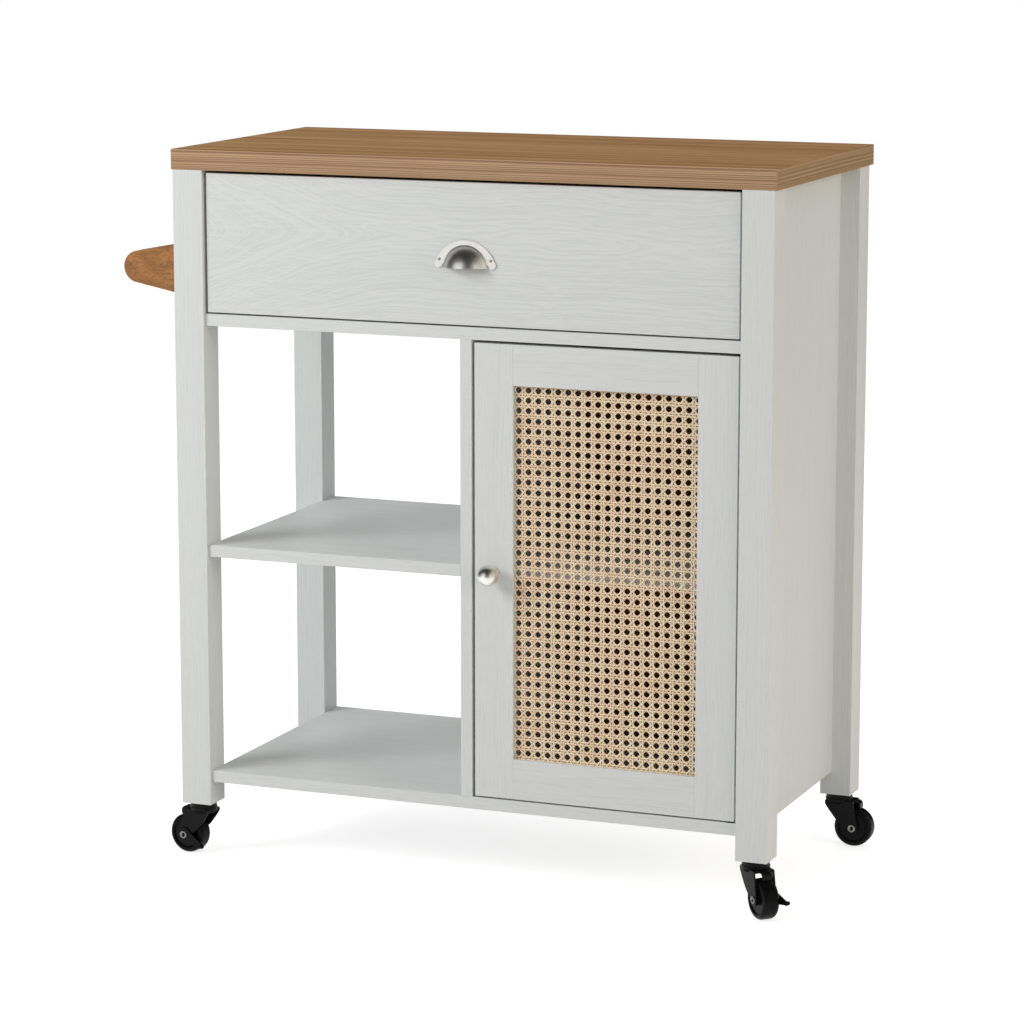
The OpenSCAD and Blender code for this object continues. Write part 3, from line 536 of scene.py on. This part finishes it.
def stand_for(piece, *nodes):
    """The piece takes the nodes' place and body"""
    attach(piece, frame["nodes"][nodes[0]]["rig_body"])
    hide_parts(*nodes)
    node_slot(nodes[0])
    return piece


def round_off(shape, edges, radius, segments=2):
    """Rounds these edges of the shape"""
    bmesh.ops.bevel(
        shape, geom=edges, offset=radius, offset_type="OFFSET", segments=segments, profile=0.5,
        affect="EDGES", clamp_overlap=True)


def rounded_board(node, materials, radius, choose=None, segments=2, edges=outer_edges):
    """A board with its outer edges rounded. choose picks a face's material from its direction"""
    shape = whole_mesh(node)
    round_off(shape, edges(shape), radius, segments)
    shape.normal_update()
    if choose:
        for face in shape.faces:
            face.material_index = choose(face.normal)
    return stand_for(make_object(f"{node}_board", shape, materials), node)


def soft_metal(node, finish, radius):
    """A metal piece with its edges softened and its curves smooth"""
    shape = whole_mesh(node)
    round_off(shape, outer_edges(shape, shortest=0.2 * MM), radius)
    piece = make_object(f"{node}_metal", shape, [finish_for(finish)], 50)
    weighted = piece.modifiers.new("Flat faces", "WEIGHTED_NORMAL")
    weighted.keep_sharp = True
    return stand_for(plain_copy(piece), node)


def dress(node, finish):
    """A carried-over node gets its finish"""
    part = frame["nodes"][node]
    part.data.materials.clear()
    part.data.materials.append(finish_for(finish))
    node_slot(node)


def plain_copy(piece):
    """The object with its modifiers worked into a plain mesh"""
    graph = bpy.context.evaluated_depsgraph_get()
    mesh = bpy.data.meshes.new_from_object(piece.evaluated_get(graph))
    piece.modifiers.clear()
    old = piece.data
    piece.data = mesh
    mesh.name = piece.name
    bpy.data.meshes.remove(old)
    return piece


# ---- geometry nodes

class Growth(Nodes):
    """One geometry node tree under construction: seats go in, clad real geometry comes out"""

    def __init__(self, name, numbers, counts=(), vectors=()):
        self.tree = bpy.data.node_groups.new(name, "GeometryNodeTree")
        face = self.tree.interface
        face.new_socket(name="Seats", in_out="INPUT", socket_type="NodeSocketGeometry")
        self.keys = {}
        kinds = {"Float": numbers, "Int": counts, "Vector": vectors, "Material": ["Material"]}
        for kind, labels in kinds.items():
            for label in labels:
                socket = face.new_socket(
                    name=label, in_out="INPUT", socket_type=f"NodeSocket{kind}")
                self.keys[label] = socket.identifier
        face.new_socket(name="Geometry", in_out="OUTPUT", socket_type="NodeSocketGeometry")
        self.source = self.add("NodeGroupInput")
        self.sink = self.add("NodeGroupOutput")

    def given(self, label):
        return self.source.outputs[label]

    def vector(self, x, y, z):
        return self.made("ShaderNodeCombineXYZ", {"X": x, "Y": y, "Z": z})

    def parts(self, vector):
        """The three numbers of a vector"""
        return self.add("ShaderNodeSeparateXYZ", {0: vector}).outputs

    def place(self):
        return self.parts(self.made("GeometryNodeInputPosition"))

    def finish(self, geometry):
        real = self.made("GeometryNodeRealizeInstances", {"Geometry": geometry})
        clad = self.made(
            "GeometryNodeSetMaterial", {"Geometry": real, "Material": self.given("Material")})
        self.feed(self.sink.inputs[0], clad)

    def grow(self, name, values, seats=None):
        """An object with what the tree makes from these values and seats, as a plain mesh"""
        piece = bpy.data.objects.new(name, seats or bpy.data.meshes.new(name))
        bpy.context.scene.collection.objects.link(piece)
        modifier = piece.modifiers.new("Growth", "NODES")
        modifier.node_group = self.tree
        for label, value in values.items():
            modifier[self.keys[label]] = value
        plain_copy(piece)
        if not piece.data.polygons:
            raise RuntimeError(f"{name} has no faces")
        return piece


def strand_growth():
    """Parallel strands over a rectangle, in pairs, each waving in depth where it crosses others"""
    tree = Growth("Cane strands", [
        "Angle", "Pair step", "Pair gap", "Half width", "Half height", "Strand width",
        "Strand depth", "Wave", "Wave length", "Step",
    ], ["Pairs each way", "Steps"], ["Middle", "Origin"])
    maths, given, made = tree.maths, tree.given, tree.made
    plus, minus, times = tree.plus, tree.minus, tree.times

    # One thin rod for each strand, which the rest lays in its place
    count = times(plus(times(given("Pairs each way"), 2), 1), 2)
    spots = made("GeometryNodePoints", {"Count": count})
    rod = made("GeometryNodeMeshCylinder", {
        "Vertices": 4, "Side Segments": given("Steps"), "Radius": 1.0, "Depth": 1.0},
        fill_type="NGON")
    rods = made("GeometryNodeInstanceOnPoints", {"Points": spots, "Instance": rod})
    marked = made("GeometryNodeStoreNamedAttribute", {
        "Geometry": rods, "Name": "strand", "Value": made("GeometryNodeInputIndex")},
        data_type="FLOAT", domain="INSTANCE")
    real = made("GeometryNodeRealizeInstances", {"Geometry": marked})
    strand = made("GeometryNodeInputNamedAttribute", {"Name": "strand"}, data_type="FLOAT")
    side, deep, lengthwise = tree.place()

    # Which pair, and which strand of it: -1 or 1
    pair = minus(maths("FLOOR", maths("DIVIDE", strand, 2)), given("Pairs each way"))
    hand = minus(times(maths("MODULO", strand, 2), 2), 1)
    offset = plus(times(pair, given("Pair step")), times(times(given("Pair gap"), 0.5), hand))
    way_x, way_z = maths("COSINE", given("Angle")), maths("SINE", given("Angle"))
    side_x, side_z = times(way_z, -1), way_x
    middle, origin = tree.parts(given("Middle")), tree.parts(given("Origin"))

    def reach(centre, start, way, across, half):
        """How far the strand runs before it leaves the rectangle in one direction"""
        square = maths("MAXIMUM", times(way, way), 1e-8)
        gap = minus(minus(centre, start), times(offset, across))
        mid = maths("DIVIDE", times(gap, way), square)
        span = maths("DIVIDE", half, maths("MAXIMUM", maths("ABSOLUTE", way), 1e-4))
        return minus(mid, span), plus(mid, span)

    low_x, high_x = reach(middle[0], origin[0], way_x, side_x, given("Half width"))
    low_z, high_z = reach(middle[2], origin[2], way_z, side_z, given("Half height"))
    low, high = maths("MAXIMUM", low_x, low_z), maths("MINIMUM", high_x, high_z)
    run = times(maths("ROUND", times(lengthwise, given("Steps"))), given("Step"))
    run = maths("MINIMUM", maths("MAXIMUM", run, low), high)
    sideways = plus(offset, times(side, times(given("Strand width"), 0.5)))
    x = plus(origin[0], plus(times(run, way_x), times(sideways, side_x)))
    z = plus(origin[2], plus(times(run, way_z), times(sideways, side_z)))
    # Half a turn between the waves of a pair swaps over and under
    turn = times(minus(hand, 1), math.pi / 2)
    phase = tree.times_plus(maths("DIVIDE", run, given("Wave length")), math.tau, turn)
    lift = times(maths("SINE", phase), given("Wave"))
    y = minus(minus(origin[1], lift), times(deep, times(given("Strand depth"), 0.5)))
    moved = made("GeometryNodeSetPosition", {"Geometry": real, "Position": tree.vector(x, y, z)})

    # Strands that miss the rectangle go, and so do steps past its edge
    outside = made("FunctionNodeCompare", {"A": minus(high, low), "B": 2 * MM},
                   data_type="FLOAT", operation="LESS_THAN")
    kept = made("GeometryNodeDeleteGeometry", {"Geometry": moved, "Selection": outside})
    joined = made("GeometryNodeMergeByDistance", {"Geometry": kept, "Distance": MM / 50})
    tree.finish(made("GeometryNodeSetShadeSmooth", {"Geometry": joined}))
    return tree


def screw_growth():
    """Cross-recessed screws with threads, one on each seat, turned to the seat's aim"""
    tree = Growth("Screws", [
        "Head radius", "Head height", "Under head", "Crown", "Shank radius", "Length",
        "Thread pitch", "Recess"])
    maths, given, made, times = tree.maths, tree.given, tree.made, tree.times
    head = made("GeometryNodeMeshCone", {
        "Vertices": 32, "Side Segments": 4, "Fill Segments": 4,
        "Radius Top": given("Head radius"), "Radius Bottom": given("Under head"),
        "Depth": given("Head height")})

    # The head's face swells to its crown, and a cross is cut into it
    x, y, z = tree.place()
    far = maths("DIVIDE", maths("SQRT", tree.times_plus(x, x, times(y, y))), given("Head radius"))
    drop = times(times(times(far, far), far), given("Crown"))
    high = maths("GREATER_THAN", z, times(given("Head height"), 0.9))
    lowered = tree.vector(0.0, 0.0, times(times(drop, high), -1.0))
    head = made("GeometryNodeSetPosition", {"Geometry": head, "Offset": lowered})
    arms = tree.add("GeometryNodeJoinGeometry")
    arm_length, arm_width = 2.2, 0.66
    for wide, narrow in ((arm_length, arm_width), (arm_width, arm_length)):
        size = tree.vector(
            times(given("Recess"), wide), times(given("Recess"), narrow), given("Recess"))
        raised = made("GeometryNodeTransform", {
            "Geometry": made("GeometryNodeMeshCube", {"Size": size}),
            "Translation": tree.vector(0.0, 0.0, given("Head height"))})
        tree.feed(arms.inputs[0], raised)
    cut = tree.add("GeometryNodeMeshBoolean", {0: head}, operation="DIFFERENCE")
    tree.feed(cut.inputs["Mesh 2"], arms.outputs[0])

    # The thread pinches the shank between its turns
    shank = made("GeometryNodeMeshCylinder", {
        "Vertices": 12, "Side Segments": 60, "Radius": given("Shank radius"),
        "Depth": given("Length")})
    turns = maths("DIVIDE", z, given("Thread pitch"))
    wave = maths("COSINE", tree.times_plus(turns, math.tau, maths("ARCTAN2", y, x)))
    pinch = tree.times_plus(wave, 0.11, 0.89)
    threaded = made("GeometryNodeSetPosition", {"Geometry": shank, "Position": tree.vector(
        times(x, pinch), times(y, pinch), tree.minus(z, times(given("Length"), 0.5)))})
    screw = tree.add("GeometryNodeJoinGeometry")
    for part in (threaded, cut.outputs[0]):
        tree.feed(screw.inputs[0], part)
    aim = made("GeometryNodeInputNamedAttribute", {"Name": "aim"}, data_type="FLOAT_VECTOR")
    aligned = made("FunctionNodeAlignRotationToVector", {"Vector": aim}, axis="Z")
    tree.finish(made("GeometryNodeInstanceOnPoints", {
        "Points": given("Seats"), "Instance": screw.outputs[0], "Rotation": aligned}))
    return tree


class Solid:
    """One separate solid of a node: its middle, its length and the way its thick end points"""

    def __init__(self, corners):
        low = Vector(map(min, zip(*corners)))
        high = Vector(map(max, zip(*corners)))
        size = high - low
        self.middle = (low + high) / 2
        self.length = max(size)
        axis = list(size).index(self.length)
        ends = []
        for level in (low[axis], high[axis]):
            rim = [c for c in corners if abs(c[axis] - level) < 0.3 * MM]
            ends.append(max((self.across(c, axis) for c in rim), default=0.0))
        self.aim = Vector(1.0 if i == axis else 0.0 for i in range(3))
        if ends[0] > ends[1]:
            self.aim.negate()
        self.head = self.middle + self.aim * self.length / 2

    def across(self, corner, axis):
        return math.dist(*[[v[i] for i in range(3) if i != axis] for v in (corner, self.middle)])


def solids(node):
    """The node's separate solids"""
    shape = whole_mesh(node)
    left = dict.fromkeys(shape.verts)
    found = []
    while left:
        reached, group = [left.popitem()[0]], []
        while reached:
            corner = reached.pop()
            group.append(corner.co.copy())
            for link in corner.link_edges:
                other = link.other_vert(corner)
                if other in left:
                    del left[other]
                    reached.append(other)
        found.append(Solid(group))
    shape.free()
    return found


def seats_for(name, group, sunk):
    """A mesh of one point for each solid, at the foot of its head, with its aim"""
    mesh = bpy.data.meshes.new(name)
    mesh.from_pydata([solid.head - solid.aim * sunk for solid in group], [], [])
    aims = mesh.attributes.new("aim", "FLOAT_VECTOR", "POINT")
    for value, solid in zip(aims.data, group):
        value.vector = solid.aim
    return mesh


def turned(shape, profile, place, steps, ripple=None):
    """Adds a solid turned about the Z axis of place

    profile: radius and height of each corner round its section, in millimetres.
    ripple: gives what a corner's radius gains at an angle, in millimetres.
    """
    rings = []
    for number, (radius, height) in enumerate(profile):
        ring = []
        for step in range(steps):
            angle = math.tau * step / steps
            reach = (radius + (ripple(number, angle) if ripple else 0.0)) * MM
            ring.append(shape.verts.new(place @ Vector((
                reach * math.cos(angle), reach * math.sin(angle), height * MM))))
        rings.append(ring)
    faces = []
    for ring, following in zip(rings, rings[1:] + rings[:1]):
        for step in range(steps):
            after = (step + 1) % steps
            faces.append(shape.faces.new((ring[step], ring[after], following[after], following[step])))
    bmesh.ops.recalc_face_normals(shape, faces=faces)


# ---- operators

class Maker(bpy.types.Operator):
    """Shared by the cart's operators"""

    bl_options = {"REGISTER", "UNDO"}

    def execute(self, context):
        self.make()
        return {"FINISHED"}


class CART_OT_stage(Maker):
    """Sets up the camera, the lamps, the floor and the pale surroundings"""

    bl_idname = "cart.stage"
    bl_label = "Stage"

    CAMERA_PLACE = (1.7055, -4.2302, 1.2630)
    CAMERA_DOWN = 0.178776
    CAMERA_TURN = 0.38121
    LENS_MM = 128.79
    FILM_MM = 36.0

    WORLD_LIGHT = 0.46
    FLOOR_GREY = 0.62
    FLOOR_GLOW = 0.72
    FLOOR_HALF = 9.0

    # Name, place, target, side, power, colour and whether shiny surfaces show it
    LAMPS = [
        ("Key lamp", (-2.1, -2.2, 2.0), (0.0, -0.2, 0.45), 1.5, 58, (1.0, 1.0, 1.0), False),
        ("Right fill", (4.2, -1.2, 1.6), (0.3, 0.0, 0.45), 2.2, 59, (1.0, 0.92, 0.75), True),
        ("Back lamp", (-0.6, 2.8, 2.3), (0.0, 0.0, 0.5), 1.6, 16, (1.0, 1.0, 1.0), False),
    ]
    # Name, place, turn and half sizes of the dark cards that only shiny surfaces show
    LEVEL, FACING_X, FACING_Y = (0.0, 0.0, 0.0), (0.0, math.pi / 2, 0.0), (math.pi / 2, 0.0, 0.0)
    CARDS = [
        ("Card above", (-1.5, -1.2, 2.7), LEVEL, (5.5, 2.8)),
        ("Card at the right", (3.4, -0.6, 1.3), FACING_X, (1.4, 2.2)),
        ("Card in front", (0.85, -2.6, 1.0), FACING_Y, (1.15, 1.4)),
        ("Card at the left", (-2.6, -0.6, 1.3), FACING_X, (1.4, 1.6)),
        ("Card behind", (-1.2, 3.2, 1.2), FACING_Y, (3.6, 1.6)),
    ]

    def make(self):
        scene = bpy.context.scene
        scene.view_settings.view_transform = "Standard"
        camera = bpy.data.objects.new("Camera", bpy.data.cameras.new("Camera"))
        scene.collection.objects.link(camera)
        camera.data.lens = self.LENS_MM
        camera.data.sensor_width = self.FILM_MM
        camera.location = self.CAMERA_PLACE
        camera.rotation_euler = (math.pi / 2 - self.CAMERA_DOWN, 0.0, self.CAMERA_TURN)
        scene.camera = camera
        self.world(scene)
        self.floor()
        for lamp in self.LAMPS:
            self.lamp(*lamp)
        for card in self.CARDS:
            self.card(*card)

    def world(self, scene):
        """White surroundings, softer for what only takes light from them"""
        scene.world = bpy.data.worlds.new("Studio")
        nodes = Nodes().empty(scene.world)
        strength = nodes.add("ShaderNodeMapRange", {
            "Value": nodes.seen_directly(), "To Min": self.WORLD_LIGHT, "To Max": 1.0})
        back = nodes.add("ShaderNodeBackground", {
            "Color": (1.0, 1.0, 1.0, 1.0), "Strength": strength.outputs[0]})
        nodes.add("ShaderNodeOutputWorld", {0: back.outputs[0]})

    def floor(self):
        """White paper that takes a soft shadow"""
        paper = bpy.data.materials.new("Paper floor")
        nodes = Nodes().empty(paper)
        matte = nodes.add("ShaderNodeBsdfDiffuse", {"Color": opaque([self.FLOOR_GREY] * 3)})
        glow = nodes.add("ShaderNodeEmission", {
            "Strength": nodes.times(nodes.seen_directly(), self.FLOOR_GLOW)})
        both = nodes.add("ShaderNodeAddShader", {0: matte.outputs[0], 1: glow.outputs[0]})
        nodes.add("ShaderNodeOutputMaterial", {0: both.outputs[0]})
        self.sheet("Floor", (self.FLOOR_HALF, self.FLOOR_HALF), paper)

    @staticmethod
    def sheet(name, half, material):
        shape = bmesh.new()
        bmesh.ops.create_grid(shape, x_segments=1, y_segments=1, size=1.0)
        bmesh.ops.scale(shape, vec=(*half, 1.0), verts=shape.verts)
        return make_object(name, shape, [material])

    def card(self, name, place, turn, half):
        dark = Recipe(name).finish(
            Base_Color=(0.02, 0.02, 0.02, 1.0), Roughness=1.0, Specular_IOR_Level=0.0)
        card = self.sheet(name, half, dark)
        card.location = place
        card.rotation_euler = turn
        card.visible_camera = card.visible_diffuse = False
        card.visible_shadow = card.visible_transmission = False

    @staticmethod
    def lamp(name, place, target, side, power, colour, shown):
        light = bpy.data.lights.new(name, "AREA")
        light.size = side
        light.energy = power
        light.color = colour
        lamp = bpy.data.objects.new(name, light)
        bpy.context.scene.collection.objects.link(lamp)
        lamp.location = place
        lamp.rotation_euler = (Vector(target) - Vector(place)).to_track_quat("-Z", "Y").to_euler()
        lamp.visible_glossy = shown


class CART_OT_boards(Maker):
    """Rounds the white boards' edges and gives them their foil"""

    bl_idname = "cart.boards"
    bl_label = "White boards"

    def make(self):
        radius = sizes().edge_round
        for axis, nodes in (("X", GRAIN_ACROSS), ("Y", GRAIN_BACKWARD), ("Z", GRAIN_UP)):
            for node in nodes:
                if node not in ("drawer_front", "cabinet_back"):
                    rounded_board(node, [finish_for(f"white {axis}")], radius)
        rounded_board("drawer_front", [finish_for("white drawer")], radius, edges=outline_edges)
        # The back panel is white outside and bare brown hardboard towards the cabinet, whose dark tone
        # is also painted shade for the inside seen through the cane
        rounded_board(
            "cabinet_back", [finish_for("white Z"), finish_for("hardboard_and_painted_shade")], 0.3 * MM,
            lambda normal: 1 if normal.y < -0.5 else 0, segments=1)


class CART_OT_worktop(Maker):
    """Rounds the worktop's edges and gives its top and its edges their oak"""

    bl_idname = "cart.worktop"
    bl_label = "Worktop"

    def make(self):
        shape = whole_mesh("worktop")
        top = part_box("worktop")[1].z
        crown = [e for e in outer_edges(shape) if min(v.co.z for v in e.verts) > top - MM]
        round_off(shape, crown, sizes().worktop_round, 3)
        round_off(shape, outer_edges(shape), sizes().edge_round)
        shape.normal_update()
        for face in shape.faces:
            face.material_index = self.face_finish(face.normal)
        finishes = [finish_for(f"oak {part}") for part in ("top", "edge X", "edge Y")]
        stand_for(make_object("worktop_board", shape, finishes), "worktop")

    @staticmethod
    def face_finish(normal):
        if abs(normal.z) > 0.8:
            return 0
        return 1 if abs(normal.y) > abs(normal.x) else 2


class CART_OT_towel_rail(Maker):
    """Rounds the towel rail's brackets and gives the rail its oak"""

    bl_idname = "cart.towel_rail"
    bl_label = "Towel rail"

    def make(self):
        for node in ("towel_bracket_front", "towel_bracket_rear"):
            rounded_board(node, [finish_for("oak rail")], sizes().edge_round)
        dress("towel_rod", "oak rod")


class CART_OT_cane(Maker):
    """Weaves the door's cane: upright pairs, cross pairs and two slants"""

    bl_idname = "cart.cane"
    bl_label = "Cane"

    # From the opening's upper left corner to the middle of the first hole
    FIRST_HOLE = (5.0 * MM, 5.5 * MM)
    # Columns and rows from there to the crossing that all strands are counted from
    ORIGIN_COLUMN, ORIGIN_ROW = 8.5, 17.5

    def make(self):
        size = sizes()
        low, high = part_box("cane_panel")
        tree = strand_growth()
        pitch, rise = size.cane_pitch, size.cane_rise
        hole_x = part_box("door_stile_left")[1].x + self.FIRST_HOLE[0]
        hole_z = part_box("door_rail_top")[0].z - self.FIRST_HOLE[1]
        origin = Vector((
            hole_x + self.ORIGIN_COLUMN * pitch, (low.y + high.y) / 2,
            hole_z - self.ORIGIN_ROW * rise))
        slope = math.hypot(pitch, rise)
        turn = math.atan2(rise, pitch)
        shared = {
            "Middle": (low + high) / 2, "Half width": (high.x - low.x) / 2,
            "Half height": (high.z - low.z) / 2, "Origin": origin,
            "Strand width": size.strand_width, "Strand depth": size.strand_depth,
            "Material": finish_for("cane"),
        }
        upright = {
            "Angle": math.pi / 2, "Pair step": pitch, "Pair gap": size.cane_pair,
            "Pairs each way": 11, "Wave": 0.31 * MM, "Wave length": rise, "Step": rise / 4,
            "Steps": 200}
        cross = dict(upright, **{
            "Angle": 0.0, "Pair step": rise, "Pairs each way": 20, "Wave length": pitch,
            "Step": pitch / 4, "Steps": 100})
        slant = {
            "Angle": turn, "Pair step": 2 * pitch * rise / slope, "Pair gap": pitch * rise / slope,
            "Pairs each way": 15, "Wave": 0.5 * MM, "Wave length": slope, "Step": slope / 4,
            "Steps": 120}
        families = [
            ("cane_uprights", upright), ("cane_crosses", cross), ("cane_slants_up", slant),
            ("cane_slants_down", dict(slant, Angle=math.pi - turn)),
        ]
        for name, values in families:
            stand_for(tree.grow(name, {**shared, **values}), "cane_panel")


class CART_OT_fittings(Maker):
    """Softens the pull's and the knob's edges, sets the screws and finishes the hidden fittings"""

    bl_idname = "cart.fittings"
    bl_label = "Fittings"

    FINISHES = {
        "zinc": ["door_pins", "catch_plate", "shelf_pins", "worktop_brackets", "stem_sockets",
                 "swivel_balls"],
        "birch": ["carcass_dowels", "door_dowels", "drawer_runners"],
        "black plastic": ["catch_housing", "door_bushes"],
    }
    # Head radius, head height, radius under the head, crown and shank radius
    PAN_HEAD = (2.6, 1.2, 2.6, 0.5, 1.5)
    FLAT_HEAD = (3.5, 2.2, 1.9, 0.0, 1.75)
    KNOB_HEAD = (4.0, 2.2, 4.0, 0.4, 2.0)
    THREAD_PITCH = 1.1

    def make(self):
        for finish, nodes in self.FINISHES.items():
            for node in nodes:
                dress(node, finish)
        soft_metal("cup_pull", "nickel", 0.35 * MM)
        soft_metal("knob", "nickel", 0.3 * MM)
        tree = screw_growth()
        self.set_screws(tree, "pull_screws", "nickel", self.PAN_HEAD)
        self.set_screws(tree, "knob_screw", "zinc", self.KNOB_HEAD)
        self.set_screws(tree, "wood_screws", "zinc", self.FLAT_HEAD)

    def set_screws(self, tree, node, finish, sizes_mm):
        """Puts a threaded screw in place of each of the node's solids, length by length"""
        head, height, under, crown, shank = (value * MM for value in sizes_mm)
        by_length = {}
        for solid in solids(node):
            by_length.setdefault(round(solid.length / MM), []).append(solid)
        for length, group in sorted(by_length.items()):
            name = f"{node}_{length}_mm"
            piece = tree.grow(name, {
                "Head radius": head, "Head height": height, "Under head": under, "Crown": crown,
                "Shank radius": shank, "Length": length * MM - height,
                "Thread pitch": self.THREAD_PITCH * MM,
                "Recess": head * 0.6, "Material": finish_for(finish),
            }, seats_for(name, group, height))
            piece.data.set_sharp_from_angle(angle=math.radians(35))
            stand_for(piece, node)


class CART_OT_casters(Maker):
    """Turns the casters' caps, wheels and axles, and softens the forks and the brake levers"""

    bl_idname = "cart.casters"
    bl_label = "Casters"

    POLE = 0.001  # radius that closes a turned solid on its axis
    GROOVES = 5
    FLUTES = 36

    def make(self):
        self.caps()
        for corner in CORNERS:
            soft_metal(f"fork_{corner}", "black metal", 0.35 * MM)
            self.wheel(corner)
            self.axle(corner)
        for hand in ("left", "right"):
            soft_metal(f"brake_lever_{hand}", "black metal", 0.3 * MM)

    @staticmethod
    def axle_place(corner):
        """The axle's middle between the fork's sides, its Z axis along the axle"""
        place = {joint["name"]: joint for joint in frame["joints"]}
        swivel, roll = place[f"swivel_{corner}"]["pos_m"], place[f"roll_{corner}"]["pos_m"]
        side = Vector((-(roll[1] - swivel[1]), roll[0] - swivel[0], 0.0)).normalized()
        return Matrix.Translation(roll) @ side.to_track_quat("Z", "Y").to_matrix().to_4x4()

    @staticmethod
    def ends(node, place):
        """Where a node begins and ends along the Z axis of place, in millimetres"""
        back = place.inverted()
        along = [(back @ v.co).z for v in frame["nodes"][node].data.vertices]
        return min(along) / MM, max(along) / MM

    def wheel(self, corner):
        """A grooved tyre with round shoulders on a dished body with a raised hub"""
        node = f"wheel_{corner}"
        place = self.axle_place(corner)
        hub = self.ends(node, place)[1]
        tyre = place.translation.z / MM
        half, bore, boss, dish, bend = hub - 1.2, 3.4, 7.0, tyre - 6.5, 5
        side = [
            (bore, hub), (boss - 0.6, hub), (boss, hub - 0.5), (boss + 0.4, half - 1.5),
            (dish - 1.2, half - 1.8), (dish - 0.4, half - 1.2), (dish, half - 0.3),
            (dish + 0.5, half), (tyre - 5.4, half), (tyre - 5.0, half - 0.25), (tyre - 4.6, half),
        ]
        shoulder = [
            (tyre - bend + bend * math.sin(turn), half - bend + bend * math.cos(turn))
            for turn in (math.radians(step) for step in range(12, 91, 13))]
        tread = []
        for groove in range(self.GROOVES):
            level = (half - bend) * (1 - 2 * (groove + 0.5) / self.GROOVES)
            tread += [
                (tyre, level + 0.45), (tyre - 0.25, level + 0.15), (tyre - 0.25, level - 0.15),
                (tyre, level - 0.45)]
        face = side + shoulder
        shape = bmesh.new()
        turned(shape, face + tread + [(r, -z) for r, z in reversed(face)], place, 96)
        stand_for(make_object(f"{node}_tyre", shape, [finish_for("black wheel")], 30), node)

    def axle(self, corner):
        """A tubular rivet: rolled rims at both ends of a tube"""
        node = f"axle_{corner}"
        place = self.axle_place(corner)
        low, high = self.ends(node, place)
        bore, tube, rim = 1.9, 3.0, 4.95

        def rolled(end, way):
            return [
                (tube, end - way * 1.2), (rim - 0.5, end - way * 1.2), (rim, end - way * 0.85),
                (rim, end - way * 0.45), (rim - 0.4, end - way * 0.1), (rim - 1.0, end),
                (rim - 1.7, end - way * 0.15), (bore + 0.6, end - way * 0.55), (bore, end - way * 1.2)]

        shape = bmesh.new()
        turned(shape, rolled(high, 1) + rolled(low, -1)[::-1], place, 48)
        stand_for(make_object(f"{node}_rivet", shape, [finish_for("gunmetal")], 50), node)

    def caps(self):
        """Round caps with a fluted rim, each on its threaded stem"""
        fluted = {4, 5, 8, 9}

        def flute(corner, angle):
            return -0.35 * (0.5 + 0.5 * math.cos(self.FLUTES * angle)) if corner in fluted else 0.0

        shape = bmesh.new()
        for solid in solids("caster_stems"):
            low, high = solid.middle.z - solid.length / 2, solid.middle.z + solid.length / 2
            foot = Matrix.Translation((solid.middle.x, solid.middle.y, low))
            top = (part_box("leg_front_left")[0].z - low) / MM
            tip = (high - low) / MM
            turned(shape, [
                (self.POLE, 0.02), (12.2, 0.02), (12.4, 0.9), (16.2, 0.9), (17.3, 1.5), (17.4, 2.3),
                (16.6, 3.0), (16.6, 3.4), (17.2, 4.0), (17.2, 4.9), (16.4, top), (self.POLE, top),
            ], foot, 144, flute)
            thread = []
            level = top
            while level < tip - 1.6:
                thread += [(3.35, level), (3.95, level + 0.5)]
                level += 1.0
            turned(
                shape, [(self.POLE, top), *thread, (3.2, tip - 0.6), (self.POLE, tip)], foot, 32)
        stand_for(make_object("caster_caps", shape, [finish_for("black metal")], 30),
                  "caster_stems")


class CART_PT_panel(bpy.types.Panel):
    """Lists the cart's makers"""

    bl_idname = "CART_PT_panel"
    bl_label = "Island cart"
    bl_space_type = "VIEW_3D"
    bl_region_type = "UI"
    bl_category = "Island cart"

    def draw(self, context):
        for maker in MAKERS:
            self.layout.operator(maker.bl_idname)
        for group in (context.scene.cart_sizes, context.scene.cart_colours):
            for name in group.__annotations__:
                self.layout.prop(group, name)


MAKERS = [
    CART_OT_stage, CART_OT_boards, CART_OT_worktop, CART_OT_towel_rail, CART_OT_cane,
    CART_OT_fittings, CART_OT_casters,
]
CLASSES = [CartSizes, CartColours, *MAKERS, CART_PT_panel]


def register():
    for item in CLASSES:
        bpy.utils.register_class(item)
    bpy.types.Scene.cart_sizes = PointerProperty(type=CartSizes)
    bpy.types.Scene.cart_colours = PointerProperty(type=CartColours)


def unregister():
    del bpy.types.Scene.cart_colours
    del bpy.types.Scene.cart_sizes
    for item in reversed(CLASSES):
        bpy.utils.unregister_class(item)


def main():
    register()
    remember_slots()
    for maker in MAKERS:
        group, name = maker.bl_idname.split(".")
        getattr(getattr(bpy.ops, group), name)()


if __name__ == "__main__":
    main()
